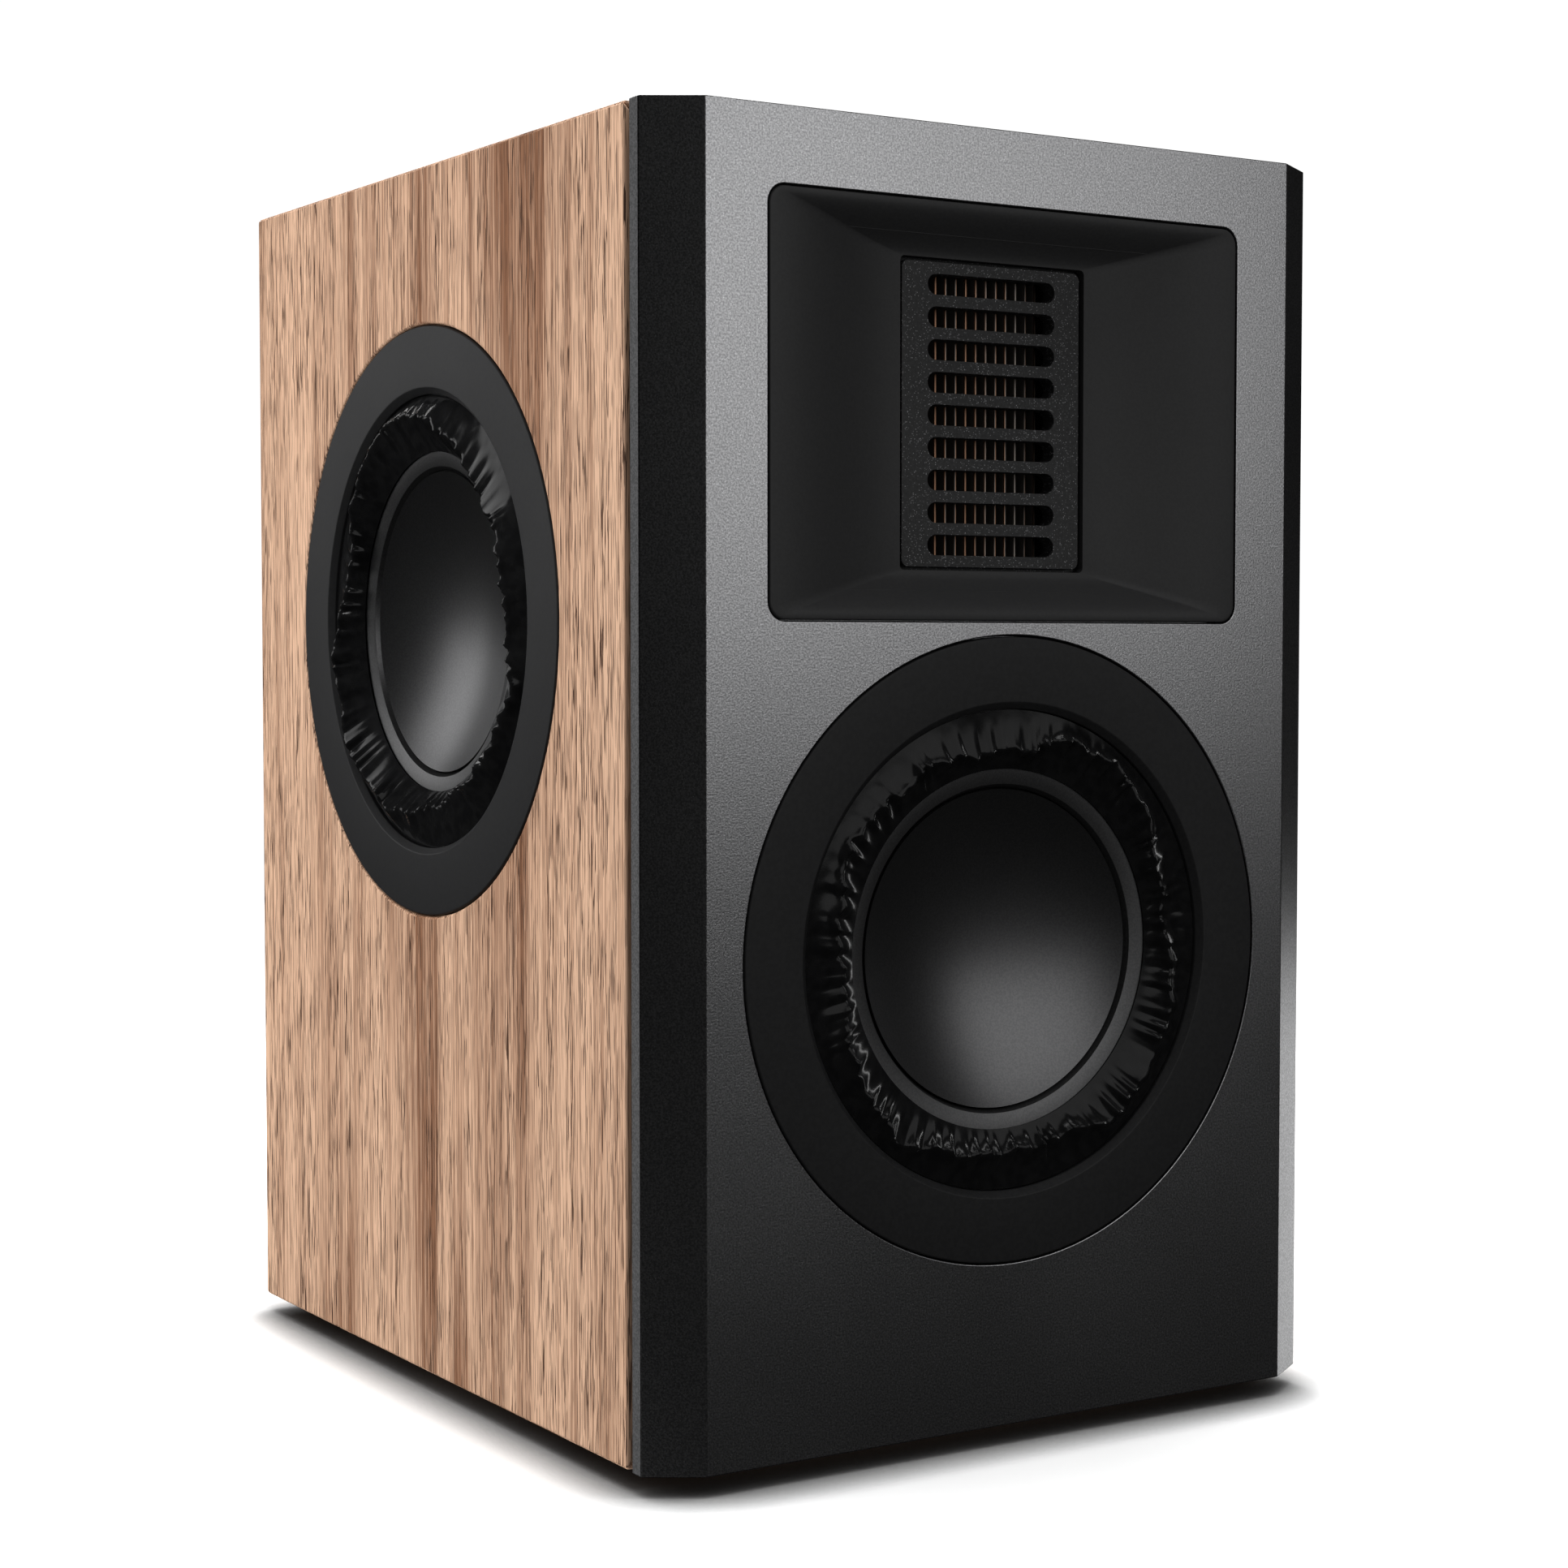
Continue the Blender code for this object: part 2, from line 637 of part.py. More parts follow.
def build_woofer(axis, moving):
    plate_face = BASKET_DEPTH + GAP
    magnet_face = plate_face + TOP_PLATE_THICKNESS + GAP
    winding_inner = COIL_RADIUS + FORMER_WALL + GAP
    winding_outer = winding_inner + WINDING_WALL
    former = (COIL_RADIUS, COIL_RADIUS + FORMER_WALL, *FORMER_DEPTHS)
    winding = (winding_inner, winding_outer, *WINDING_DEPTHS)
    plate = (winding_outer + MAGNET_SLACK, TOP_PLATE_RADIUS, plate_face, plate_face + TOP_PLATE_THICKNESS)
    magnet = (MAGNET_BORE, MAGNET_RADIUS, magnet_face, magnet_face + MAGNET_THICKNESS)
    gasket = (MOUNTING_HOLE + GAP, FLANGE_RADIUS - GAP, GASKET_DEPTH, GASKET_DEPTH + GASKET_THICKNESS)

    place("woofer_trim_ring", trim_ring_mesh(), "satin_black", axis)
    basket = place("woofer_basket", basket_mesh(), "cast_grey", axis)
    cut(basket, basket_window_mesh(), axis)
    place_ring("woofer_gasket", gasket, "foam", axis)
    place("woofer_surround", surround_mesh(), "gloss_rubber", axis)
    place("woofer_spider", spider_mesh(), "spider_cloth", axis)
    place_ring("woofer_top_plate", plate, "plated_steel", axis)
    place_ring("woofer_magnet", magnet, "ferrite", axis)
    place("woofer_yoke", yoke_mesh(), "plated_steel", axis)
    place("woofer_cone", woofer_cone_mesh(), "cone_grey", moving)
    place("woofer_dish", dish_mesh(), "cone_grey", moving)
    place_ring("woofer_coil_former", former, "former_paper", moving)
    place_ring("woofer_voice_coil", winding, "copper", moving)


# Passive radiators


def radiator_frame_mesh():
    flange_back = FLANGE_DEPTH + FLANGE_THICKNESS
    outline = [
        (THROAT_RADIUS, FLANGE_DEPTH),
        (FLANGE_RADIUS, FLANGE_DEPTH),
        (FLANGE_RADIUS, flange_back),
        (MOUNTING_HOLE - 0.7 * MM, flange_back),
        (MOUNTING_HOLE - 2 * MM, RADIATOR_FRAME_DEPTH),
        (MOUNTING_HOLE - 5 * MM, RADIATOR_FRAME_DEPTH),
        (THROAT_RADIUS, flange_back),
    ]
    return turned_mesh("radiator_frame", outline)


def radiator_cone_mesh():
    bolt_hole = 2.5 * MM
    body = [
        (16 * MM, 15.2 * MM),
        (bolt_hole, 16.6 * MM),
        (bolt_hole, WEIGHT_DEPTH - GAP),
        (16 * MM, WEIGHT_DEPTH - GAP),
        (CONE_LIP_RADIUS + 1.2 * MM, CONE_RIM_DEPTH + 4.9 * MM),
    ]
    return turned_mesh("radiator_cone", cone_rim_outline() + body)


def build_radiator(name, axis, moving):
    edge = 0.5 * MM
    weight = [
        (0.0, WEIGHT_DEPTH),
        (WEIGHT_RADIUS, WEIGHT_DEPTH),
        (WEIGHT_RADIUS, WEIGHT_DEPTH + WEIGHT_THICKNESS - edge),
        (WEIGHT_RADIUS - edge, WEIGHT_DEPTH + WEIGHT_THICKNESS),
        (0.0, WEIGHT_DEPTH + WEIGHT_THICKNESS),
    ]
    place(f"{name}_trim_ring", trim_ring_mesh(), "satin_black", axis)
    place(f"{name}_frame", radiator_frame_mesh(), "cast_grey", axis)
    place(f"{name}_surround", surround_mesh(), "gloss_rubber", axis)
    place(f"{name}_cone", radiator_cone_mesh(), "cone_grey", moving)
    place(f"{name}_dish", dish_mesh(), "cone_grey", moving)
    weight_mesh = turned_mesh(f"{name}_weight", weight, HIDDEN_STEPS)
    place(f"{name}_weight", weight_mesh, "plated_steel", moving)


# Tweeter


def waveguide_mesh():
    """A rectangular horn: a flat rim, curved walls down to the throat, and a body behind."""
    rim_land = 1.2 * MM
    mouth = (GUIDE_SIZE[0] - 2 * rim_land, GUIDE_SIZE[1] - 2 * rim_land)
    halfway = (74 * MM, 68 * MM)
    loops = [
        rounded_rectangle(GUIDE_SIZE, GUIDE_CORNER, 0.0),
        rounded_rectangle(GUIDE_SIZE, GUIDE_CORNER, GUIDE_RIM),
        rounded_rectangle(GUIDE_BODY, GUIDE_CORNER, GUIDE_RIM),
        rounded_rectangle(GUIDE_BODY, GUIDE_CORNER, GUIDE_DEPTH),
        rounded_rectangle(THROAT_SIZE, 2 * MM, GUIDE_DEPTH),
        rounded_rectangle(THROAT_SIZE, 2 * MM, THROAT_DEPTH),
        rounded_rectangle(halfway, 2.4 * MM, 4.2 * MM),
        rounded_rectangle(mouth, GUIDE_CORNER - rim_land, 0.0),
    ]
    return lofted_mesh("waveguide", loops)


def slot_plate_mesh():
    start, end = SLOT_FLANGE_DEPTHS
    loops = [
        rounded_rectangle(SLOT_LAND, 1.5 * MM, SLOT_LAND_DEPTH),
        rounded_rectangle(SLOT_LAND, 1.5 * MM, start),
        rounded_rectangle(SLOT_FLANGE, 1.5 * MM, start),
        rounded_rectangle(SLOT_FLANGE, 1.5 * MM, end),
    ]
    return lofted_mesh("tweeter_slot_plate", loops, capped=True)


def slot_outlines(depth, corner_steps):
    outlines = []
    for slot in range(SLOT_COUNT):
        rise = (slot - (SLOT_COUNT - 1) / 2) * SLOT_PITCH
        shape = rounded_rectangle(SLOT_SIZE, SLOT_SIZE[1] / 2 - 0.01 * MM, depth, corner_steps)
        outlines.append([Vector(point) + Vector((0.0, rise, 0.0)) for point in shape])
    return outlines


def film_mesh():
    """The folded diaphragm: upright pleats side by side, seen from above as a zigzag."""
    width = FILM_PLEATS * FILM_PITCH
    front = []
    for fold in range(2 * FILM_PLEATS + 1):
        across = -width / 2 + fold * FILM_PITCH / 2
        front.append(Vector((across, -FILM_HEIGHT / 2, FILM_DEPTHS[fold % 2])))
    back = [point + Vector((0.0, 0.0, FILM_THICKNESS)) for point in reversed(front)]
    return prisms_mesh("tweeter_diaphragm", [front + back], (0.0, FILM_HEIGHT, 0.0))


def build_tweeter(axis):
    motor_start = SLOT_FLANGE_DEPTHS[1] + GAP
    pole_start = MOTOR_DEPTH + GAP
    chamber_start = pole_start + REAR_POLE_THICKNESS + GAP
    flange = (GUIDE_SIZE[0] - 2 * GAP, GUIDE_SIZE[1] - 2 * GAP)
    opening = (GUIDE_BODY[0] + 2 * MM + 2 * GAP, GUIDE_BODY[1] + 2 * MM + 2 * GAP)
    gasket_start = GUIDE_RIM + GAP
    gasket_end = gasket_start + GASKET_THICKNESS
    gasket = [
        rounded_rectangle(flange, GUIDE_CORNER, gasket_start),
        rounded_rectangle(flange, GUIDE_CORNER, gasket_end),
        rounded_rectangle(opening, GUIDE_CORNER, gasket_end),
        rounded_rectangle(opening, GUIDE_CORNER, gasket_start),
    ]
    carrier = [
        rounded_rectangle(CARRIER_SIZE, MM, motor_start, 1),
        rounded_rectangle(CARRIER_SIZE, MM, MOTOR_DEPTH, 1),
        rounded_rectangle(CARRIER_WINDOW, MM, MOTOR_DEPTH, 1),
        rounded_rectangle(CARRIER_WINDOW, MM, motor_start, 1),
    ]
    inside = (SLOT_FLANGE[0] - 2 * CHAMBER_WALL, SLOT_FLANGE[1] - 2 * CHAMBER_WALL)
    chamber = [
        rounded_rectangle(inside, 3 * MM, CHAMBER_DEPTH - CHAMBER_WALL),
        rounded_rectangle(inside, 3 * MM, chamber_start),
        rounded_rectangle(SLOT_FLANGE, 5 * MM, chamber_start),
        rounded_rectangle(SLOT_FLANGE, 5 * MM, CHAMBER_DEPTH),
    ]

    place("waveguide", waveguide_mesh(), "satin_black", axis)
    place("tweeter_gasket", lofted_mesh("tweeter_gasket", gasket), "foam", axis)
    slot_plate = place("tweeter_slot_plate", slot_plate_mesh(), "speckled_black", axis)
    through = (0.0, 0.0, SLOT_FLANGE_DEPTHS[1] - SLOT_LAND_DEPTH + 2 * MM)
    cutter = prisms_mesh("front_slots", slot_outlines(SLOT_LAND_DEPTH - MM, 2), through)
    cut(slot_plate, cutter, axis)
    place("diaphragm_frame", lofted_mesh("diaphragm_frame", carrier), "satin_black", axis)
    place("tweeter_diaphragm", film_mesh(), "pleated_film", axis)
    for hand, side in (("left", -1), ("right", 1)):
        near = CARRIER_SIZE[0] / 2 + GAP
        far = SLOT_FLANGE[0] / 2
        low = (min(side * near, side * far), -CARRIER_SIZE[1] / 2, motor_start)
        high = (max(side * near, side * far), CARRIER_SIZE[1] / 2, MOTOR_DEPTH)
        mesh = box_mesh(f"tweeter_magnet_{hand}", low, high)
        place(f"tweeter_magnet_{hand}", mesh, "plated_steel", axis)
    pole = [
        rounded_rectangle(SLOT_FLANGE, 1.5 * MM, pole_start),
        rounded_rectangle(SLOT_FLANGE, 1.5 * MM, pole_start + REAR_POLE_THICKNESS),
    ]
    rear_plate_mesh = lofted_mesh("tweeter_rear_plate", pole, capped=True)
    rear_plate = place("tweeter_rear_plate", rear_plate_mesh, "plated_steel", axis)
    through = (0.0, 0.0, REAR_POLE_THICKNESS + 2 * MM)
    cutter = prisms_mesh("rear_slots", slot_outlines(pole_start - MM, 1), through)
    cut(rear_plate, cutter, axis)
    chamber_mesh = lofted_mesh("tweeter_rear_chamber", chamber, capped=True)
    place("tweeter_rear_chamber", chamber_mesh, "satin_black", axis)


# Terminal cup and binding posts


def build_terminal_cup(axis, post_axes):
    bowl_outer = (CUP_MOUTH[0] + 2 * CUP_WALL, CUP_MOUTH[1] + 2 * CUP_WALL)
    floor_outer = (CUP_FLOOR[0] + 2 * CUP_WALL, CUP_FLOOR[1] + 2 * CUP_WALL)
    loops = [
        rounded_rectangle(CUP_FLOOR, CUP_CORNER / 2, CUP_DEPTH),
        rounded_rectangle(CUP_MOUTH, CUP_CORNER / 2, 0.0),
        rounded_rectangle(CUP_FLANGE, CUP_CORNER, 0.0),
        rounded_rectangle(CUP_FLANGE, CUP_CORNER, CUP_FLANGE_THICKNESS),
        rounded_rectangle(bowl_outer, CUP_CORNER, CUP_FLANGE_THICKNESS),
        rounded_rectangle(floor_outer, CUP_CORNER, CUP_DEPTH + CUP_WALL),
    ]
    cup_mesh = lofted_mesh("terminal_cup", loops, capped=True)
    cup = place("terminal_cup", cup_mesh, "satin_black", axis)
    hole = [
        (0.0, CUP_DEPTH - MM),
        (STUD_RADIUS + 2 * GAP, CUP_DEPTH - MM),
        (STUD_RADIUS + 2 * GAP, BOARD_DEPTH + 2 * BOARD_THICKNESS),
        (0.0, BOARD_DEPTH + 2 * BOARD_THICKNESS),
    ]
    for post_axis in post_axes:
        cut(cup, turned_mesh("post_hole", hole, POST_STEPS), post_axis)


def stud_mesh():
    """The fixed stud: a socket for a banana plug, a collar, and a tail through the board."""
    collar_face = CUP_DEPTH - GAP - COLLAR_THICKNESS
    outline = [
        (0.0, collar_face - 2 * MM),
        (STUD_BORE, collar_face - 2 * MM),
        (STUD_BORE, STUD_END),
        (STUD_RADIUS, STUD_END),
        (STUD_RADIUS, collar_face),
        (COLLAR_RADIUS, collar_face),
        (COLLAR_RADIUS, collar_face + COLLAR_THICKNESS),
        (STUD_RADIUS, collar_face + COLLAR_THICKNESS),
        (STUD_RADIUS, STUD_TAIL),
        (0.0, STUD_TAIL),
    ]
    return turned_mesh("post_stud", outline, POST_STEPS)


def fluted_loop(radius, depth):
    points = []
    for step in range(2 * KNOB_FLUTES):
        turn = math.tau * step / (2 * KNOB_FLUTES)
        reach = radius - KNOB_FLUTE_DEPTH * (step % 2)
        points.append((reach * math.cos(turn), reach * math.sin(turn), depth))
    return points


def round_loop(radius, depth):
    steps = 2 * KNOB_FLUTES
    turns = [math.tau * step / steps for step in range(steps)]
    return [(radius * math.cos(turn), radius * math.sin(turn), depth) for turn in turns]


def knob_mesh(end_depth):
    """A fluted cap with a round edge and a bore that runs over the stud."""
    bore = STUD_RADIUS + 0.4 * MM
    edge = MM
    start_depth = end_depth - KNOB_LENGTH
    loops = [
        round_loop(KNOB_RADIUS - edge, start_depth),
        fluted_loop(KNOB_RADIUS, start_depth + edge),
        fluted_loop(KNOB_RADIUS, end_depth),
        round_loop(bore, end_depth),
        round_loop(bore, start_depth),
    ]
    return lofted_mesh("post_knob", loops)


def build_post(hand, colour, post_axis):
    washer_end = CUP_DEPTH - GAP - COLLAR_THICKNESS - GAP
    washer_start = washer_end - WASHER_THICKNESS
    washer = (STUD_RADIUS + 0.5 * MM, COLLAR_RADIUS, washer_start, washer_end)
    carrier = axis_empty(f"{hand}_post_travel", (0.0, 0.0, 0.0), parent=post_axis)
    place(f"{hand}_post_stud", stud_mesh(), "brass", post_axis)
    place_ring(f"{hand}_clamp_washer", washer, "brass", carrier, POST_STEPS)
    place(f"{hand}_post_knob", knob_mesh(washer_start - GAP), colour, carrier)


# Crossover


def build_crossover(axis, post_axes):
    """The board hangs on the tails of the two studs, with its parts on the inner face."""
    half = (BOARD_SIZE[0] / 2, BOARD_SIZE[1] / 2)
    low = (-half[0], BOARD_LIFT - half[1], BOARD_DEPTH)
    high = (half[0], BOARD_LIFT + half[1], BOARD_DEPTH + BOARD_THICKNESS)
    board = place("crossover_board", box_mesh("crossover_board", low, high), "board_green", axis)
    hole = [
        (0.0, BOARD_DEPTH - MM),
        (STUD_RADIUS + GAP, BOARD_DEPTH - MM),
        (STUD_RADIUS + GAP, BOARD_DEPTH + BOARD_THICKNESS + MM),
        (0.0, BOARD_DEPTH + BOARD_THICKNESS + MM),
    ]
    for post_axis in post_axes:
        cut(board, turned_mesh("board_hole", hole, POST_STEPS), post_axis)

    face = BOARD_DEPTH + BOARD_THICKNESS + GAP
    coil = place_ring("woofer_inductor", (*INDUCTOR_RADII, face, face + INDUCTOR_LENGTH), "copper", axis)
    coil.location = (-28 * MM, 14 * MM, 0.0)

    for name, radius, length, x, y in (
        ("tweeter_capacitor", 7 * MM, 30 * MM, 23 * MM, 12 * MM),
        ("woofer_capacitor", 6 * MM, 28 * MM, 22 * MM, 27 * MM),
    ):
        outline = [(0.0, -length / 2), (radius, -length / 2), (radius, length / 2), (0.0, length / 2)]
        mesh = turned_mesh(name, outline, HIDDEN_STEPS)
        place(name, mesh, "red_plastic", axis, (x, y, face + radius), (0.0, math.pi / 2, 0.0))

    width, tall, thick = RESISTOR_SIZE
    low = (-width / 2, -tall / 2, face)
    high = (width / 2, tall / 2, face + thick)
    resistor = place("tweeter_resistor", box_mesh("tweeter_resistor", low, high), "ceramic", axis)
    resistor.location = (-22 * MM, -13 * MM, 0.0)


def smooth_route(points, steps=4):
    """Points along a Catmull-Rom curve through the given ones."""
    knots = [points[0] * 2 - points[1], *points, points[-1] * 2 - points[-2]]
    route = []
    for index in range(1, len(knots) - 2):
        before, start, end, after = knots[index - 1 : index + 3]
        for step in range(steps):
            t = step / steps
            route.append(
                0.5
                * (
                    2 * start
                    + (end - before) * t
                    + (2 * before - 5 * start + 4 * end - after) * t**2
                    + (3 * start - before - 3 * end + after) * t**3
                )
            )
    route.append(points[-1])
    return route


def build_lead(name, points):
    """One insulated lead, a round tube along a smooth route."""
    route = smooth_route([Vector(point) for point in points])
    curve = bpy.data.curves.new(name, "CURVE")
    curve.dimensions = "3D"
    curve.bevel_depth = LEAD_RADIUS
    curve.bevel_resolution = 1
    curve.use_fill_caps = True
    spline = curve.splines.new("POLY")
    spline.points.add(len(route) - 1)
    for spot, place_at in zip(spline.points, route):
        spot.co = (*place_at, 1.0)
    curve.materials.append(finish("black_rubber"))
    lead = bpy.data.objects.new(name, curve)
    bpy.context.scene.collection.objects.link(lead)


def build_leads():
    board_face = BACK - BOARD_DEPTH - BOARD_THICKNESS - GAP
    woofer_axis = UNDERSIDE + WOOFER_HEIGHT
    tweeter_axis = UNDERSIDE + TWEETER_HEIGHT
    chamber_back = FRONT + CHAMBER_DEPTH
    stub = board_face - 12 * MM
    start = woofer_axis - 6 * MM
    build_lead(
        "woofer_lead",
        [
            (2 * MM, board_face, start),
            (2 * MM, stub, start),
            (16 * MM, 38 * MM, woofer_axis - 2 * MM),
            (34 * MM, 14 * MM, woofer_axis + 4 * MM),
            (44 * MM, -18 * MM, woofer_axis + 8 * MM),
            (44 * MM, -46 * MM, woofer_axis + 6 * MM),
            (43 * MM, -66 * MM, woofer_axis + 4 * MM),
        ],
    )
    build_lead(
        "tweeter_lead",
        [
            (-4 * MM, board_face, start),
            (-4 * MM, stub, start),
            (-14 * MM, 42 * MM, woofer_axis + 9 * MM),
            (-28 * MM, 22 * MM, woofer_axis + 40 * MM),
            (-25 * MM, -14 * MM, tweeter_axis - 28 * MM),
            (-10 * MM, chamber_back + 15 * MM, tweeter_axis - 2 * MM),
            (-9 * MM, chamber_back + GAP, tweeter_axis),
        ],
    )


def build_axes():
    inward_from_front = (-math.pi / 2, 0.0, 0.0)
    inward_from_back = (math.pi / 2, 0.0, 0.0)
    radiator_y = FRONT + RADIATOR_SETBACK
    radiator_z = UNDERSIDE + RADIATOR_HEIGHT
    return {
        name: axis_empty(f"{name}_axis", location, rotation)
        for name, location, rotation in (
            ("woofer", (0.0, FRONT, UNDERSIDE + WOOFER_HEIGHT), inward_from_front),
            ("tweeter", (0.0, FRONT, UNDERSIDE + TWEETER_HEIGHT), inward_from_front),
            ("left_radiator", (-SIDE, radiator_y, radiator_z), (0.0, math.pi / 2, 0.0)),
            ("right_radiator", (SIDE, radiator_y, radiator_z), (0.0, -math.pi / 2, 0.0)),
            ("terminal", (0.0, BACK, UNDERSIDE + CUP_HEIGHT), inward_from_back),
        )
    }


def main():
    clear_scene()
    axes = build_axes()

    build_baffle(axes)
    build_baffle_seal()
    build_side_panel("side_panel_left", -1, axes["left_radiator"])
    build_side_panel("side_panel_right", 1, axes["right_radiator"])
    build_level_panel("top_panel", TOP, TOP - WALL, "walnut")
    build_level_panel("bottom_panel", UNDERSIDE, UNDERSIDE + WALL, "walnut")
    build_rear_panel(axes["terminal"])
    build_brace()
    build_feet()
    build_foam()

    woofer_travel = axis_empty("woofer_travel", (0.0, 0.0, 0.0), parent=axes["woofer"])
    build_woofer(axes["woofer"], woofer_travel)
    for name in ("left_radiator", "right_radiator"):
        travel = axis_empty(f"{name}_travel", (0.0, 0.0, 0.0), parent=axes[name])
        build_radiator(name, axes[name], travel)
    build_tweeter(axes["tweeter"])

    post_axes = []
    for hand, colour, side in (("positive", "red_plastic", 1), ("negative", "satin_black", -1)):
        location = (side * POST_SPACING / 2, 0.0, 0.0)
        post_axis = axis_empty(f"{hand}_post_axis", location, parent=axes["terminal"])
        build_post(hand, colour, post_axis)
        post_axes.append(post_axis)
    build_terminal_cup(axes["terminal"], post_axes)
    build_crossover(axes["terminal"], post_axes)
    build_leads()


main()
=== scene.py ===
import json
import math

import bmesh
import bpy
import numpy as np
from mathutils import Euler, Matrix, Vector

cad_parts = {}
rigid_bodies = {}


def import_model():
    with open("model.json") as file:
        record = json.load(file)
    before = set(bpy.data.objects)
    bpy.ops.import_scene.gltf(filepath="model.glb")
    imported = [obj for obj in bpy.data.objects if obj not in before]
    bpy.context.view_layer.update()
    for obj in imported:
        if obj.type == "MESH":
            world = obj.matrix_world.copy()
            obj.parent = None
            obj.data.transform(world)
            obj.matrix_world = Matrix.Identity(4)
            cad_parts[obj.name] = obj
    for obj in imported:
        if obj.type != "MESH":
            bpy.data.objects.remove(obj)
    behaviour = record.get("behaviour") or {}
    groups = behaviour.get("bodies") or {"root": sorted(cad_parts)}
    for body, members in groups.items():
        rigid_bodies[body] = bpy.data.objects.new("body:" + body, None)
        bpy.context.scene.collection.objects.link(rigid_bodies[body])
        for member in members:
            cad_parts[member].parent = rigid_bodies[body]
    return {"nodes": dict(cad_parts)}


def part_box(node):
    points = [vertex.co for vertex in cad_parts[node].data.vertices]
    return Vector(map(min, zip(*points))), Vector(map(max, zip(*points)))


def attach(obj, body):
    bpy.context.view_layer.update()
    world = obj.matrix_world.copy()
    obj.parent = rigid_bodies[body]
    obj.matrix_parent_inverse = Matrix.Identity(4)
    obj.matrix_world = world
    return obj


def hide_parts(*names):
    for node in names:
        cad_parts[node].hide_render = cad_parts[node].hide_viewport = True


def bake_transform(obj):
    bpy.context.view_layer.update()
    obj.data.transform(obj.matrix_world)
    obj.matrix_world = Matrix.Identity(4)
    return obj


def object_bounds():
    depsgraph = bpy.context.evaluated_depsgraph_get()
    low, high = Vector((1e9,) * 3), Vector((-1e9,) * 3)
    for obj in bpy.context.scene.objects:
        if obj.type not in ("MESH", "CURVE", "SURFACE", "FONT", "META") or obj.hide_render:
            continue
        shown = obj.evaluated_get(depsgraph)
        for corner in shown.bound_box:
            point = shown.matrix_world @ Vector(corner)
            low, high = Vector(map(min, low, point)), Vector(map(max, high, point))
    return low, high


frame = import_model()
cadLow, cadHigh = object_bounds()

mm = 0.001
scene = bpy.context.scene
scene.view_settings.view_transform = "Standard"
print("frame loaded:", len(frame["nodes"]), "nodes")


# camera at eye height with the cabinet, a little to its left
cameraSetup = {
    "place": (-0.3426, -0.5547, 0.1590),
    "tiltDown": 2.695,
    "heading": 32.16,
    "lens": 66.42,
}
cameraData = bpy.data.cameras.new("camera")
cameraData.lens = cameraSetup["lens"]
cameraData.sensor_width = 36
camera = bpy.data.objects.new("camera", cameraData)
camera.location = cameraSetup["place"]
camera.rotation_euler = (math.radians(90 - cameraSetup["tiltDown"]), 0, math.radians(-cameraSetup["heading"]))
scene.collection.objects.link(camera)
scene.camera = camera


# a seat is the frame of a driver or cup: local Z runs into the cabinet, 0 at its face
def middle(node):
    low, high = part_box(node)
    return (Vector(low) + Vector(high)) / 2


def seatAt(node, facing):
    low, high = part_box(node)
    axis, edge, angles = {
        "front": (1, low, (-90, 0, 0)), "back": (1, high, (90, 0, 0)),
        "left": (0, low, (0, 90, 0)), "right": (0, high, (0, -90, 0)),
    }[facing]
    spot = middle(node)
    spot[axis] = edge[axis]
    turn = Euler([math.radians(angle) for angle in angles])
    return Matrix.Translation(spot) @ turn.to_matrix().to_4x4()


seats = {
    "woofer": seatAt("woofer_trim_ring", "front"),
    "tweeter": seatAt("waveguide", "front"),
    "leftRadiator": seatAt("left_radiator_trim_ring", "left"),
    "rightRadiator": seatAt("right_radiator_trim_ring", "right"),
    "cup": seatAt("terminal_cup", "back"),
}


# small tools for node trees
def feed(tree, node, inputs):
    # a node given as a value stands for its first output
    for key, value in inputs.items():
        if isinstance(value, bpy.types.Node):
            value = value.outputs[0]
        if isinstance(value, bpy.types.NodeSocket):
            tree.links.new(value, node.inputs[key])
        else:
            node.inputs[key].default_value = value
    return node


def addNode(tree, kind, inputs=None, **settings):
    node = tree.nodes.new(kind if "Node" in kind else f"ShaderNode{kind}")
    for key, value in settings.items():
        setattr(node, key, value)
    return feed(tree, node, inputs or {})


def addShape(tree, kind, inputs=None, **settings):
    return addNode(tree, f"GeometryNode{kind}", inputs, **settings)


def calc(tree, operation, *values):
    return addNode(tree, "Math", dict(enumerate(values)), operation=operation).outputs[0]


def times(tree, *values):
    return calc(tree, "MULTIPLY", *values)


def plus(tree, *values):
    return calc(tree, "ADD", *values)


def minus(tree, *values):
    return calc(tree, "SUBTRACT", *values)


def blendColours(tree, factor, first, second):
    node = addNode(tree, "Mix", data_type="RGBA")
    for index, value in ((0, factor), (6, first), (7, second)):
        if isinstance(value, bpy.types.NodeSocket):
            tree.links.new(value, node.inputs[index])
        elif index == 0:
            node.inputs[index].default_value = value
        else:
            node.inputs[index].default_value = (*value, 1)
    return node.outputs[2]


def between(tree, value, low, high, newLow=0.0, newHigh=1.0, shape="SMOOTHSTEP"):
    inputs = {"Value": value, "From Min": low, "From Max": high, "To Min": newLow, "To Max": newHigh}
    return addNode(tree, "MapRange", inputs, interpolation_type=shape).outputs["Result"]


def ownPlace(tree):
    return addNode(tree, "TexCoord").outputs["Object"]


def addBump(tree, shader, height, strength, distance):
    inputs = {"Height": height, "Strength": strength, "Distance": distance}
    tree.links.new(addNode(tree, "Bump", inputs).outputs[0], shader.inputs["Normal"])


def newGroup(name, kind, inputs, outputs):
    tree = bpy.data.node_groups.new(name, kind)
    for label, socketType, value in inputs:
        socket = tree.interface.new_socket(label, in_out="INPUT", socket_type=socketType)
        if value is not None:
            socket.default_value = value
    for label, socketType in outputs:
        tree.interface.new_socket(label, in_out="OUTPUT", socket_type=socketType)
    return tree, tree.nodes.new("NodeGroupInput").outputs, tree.nodes.new("NodeGroupOutput").inputs


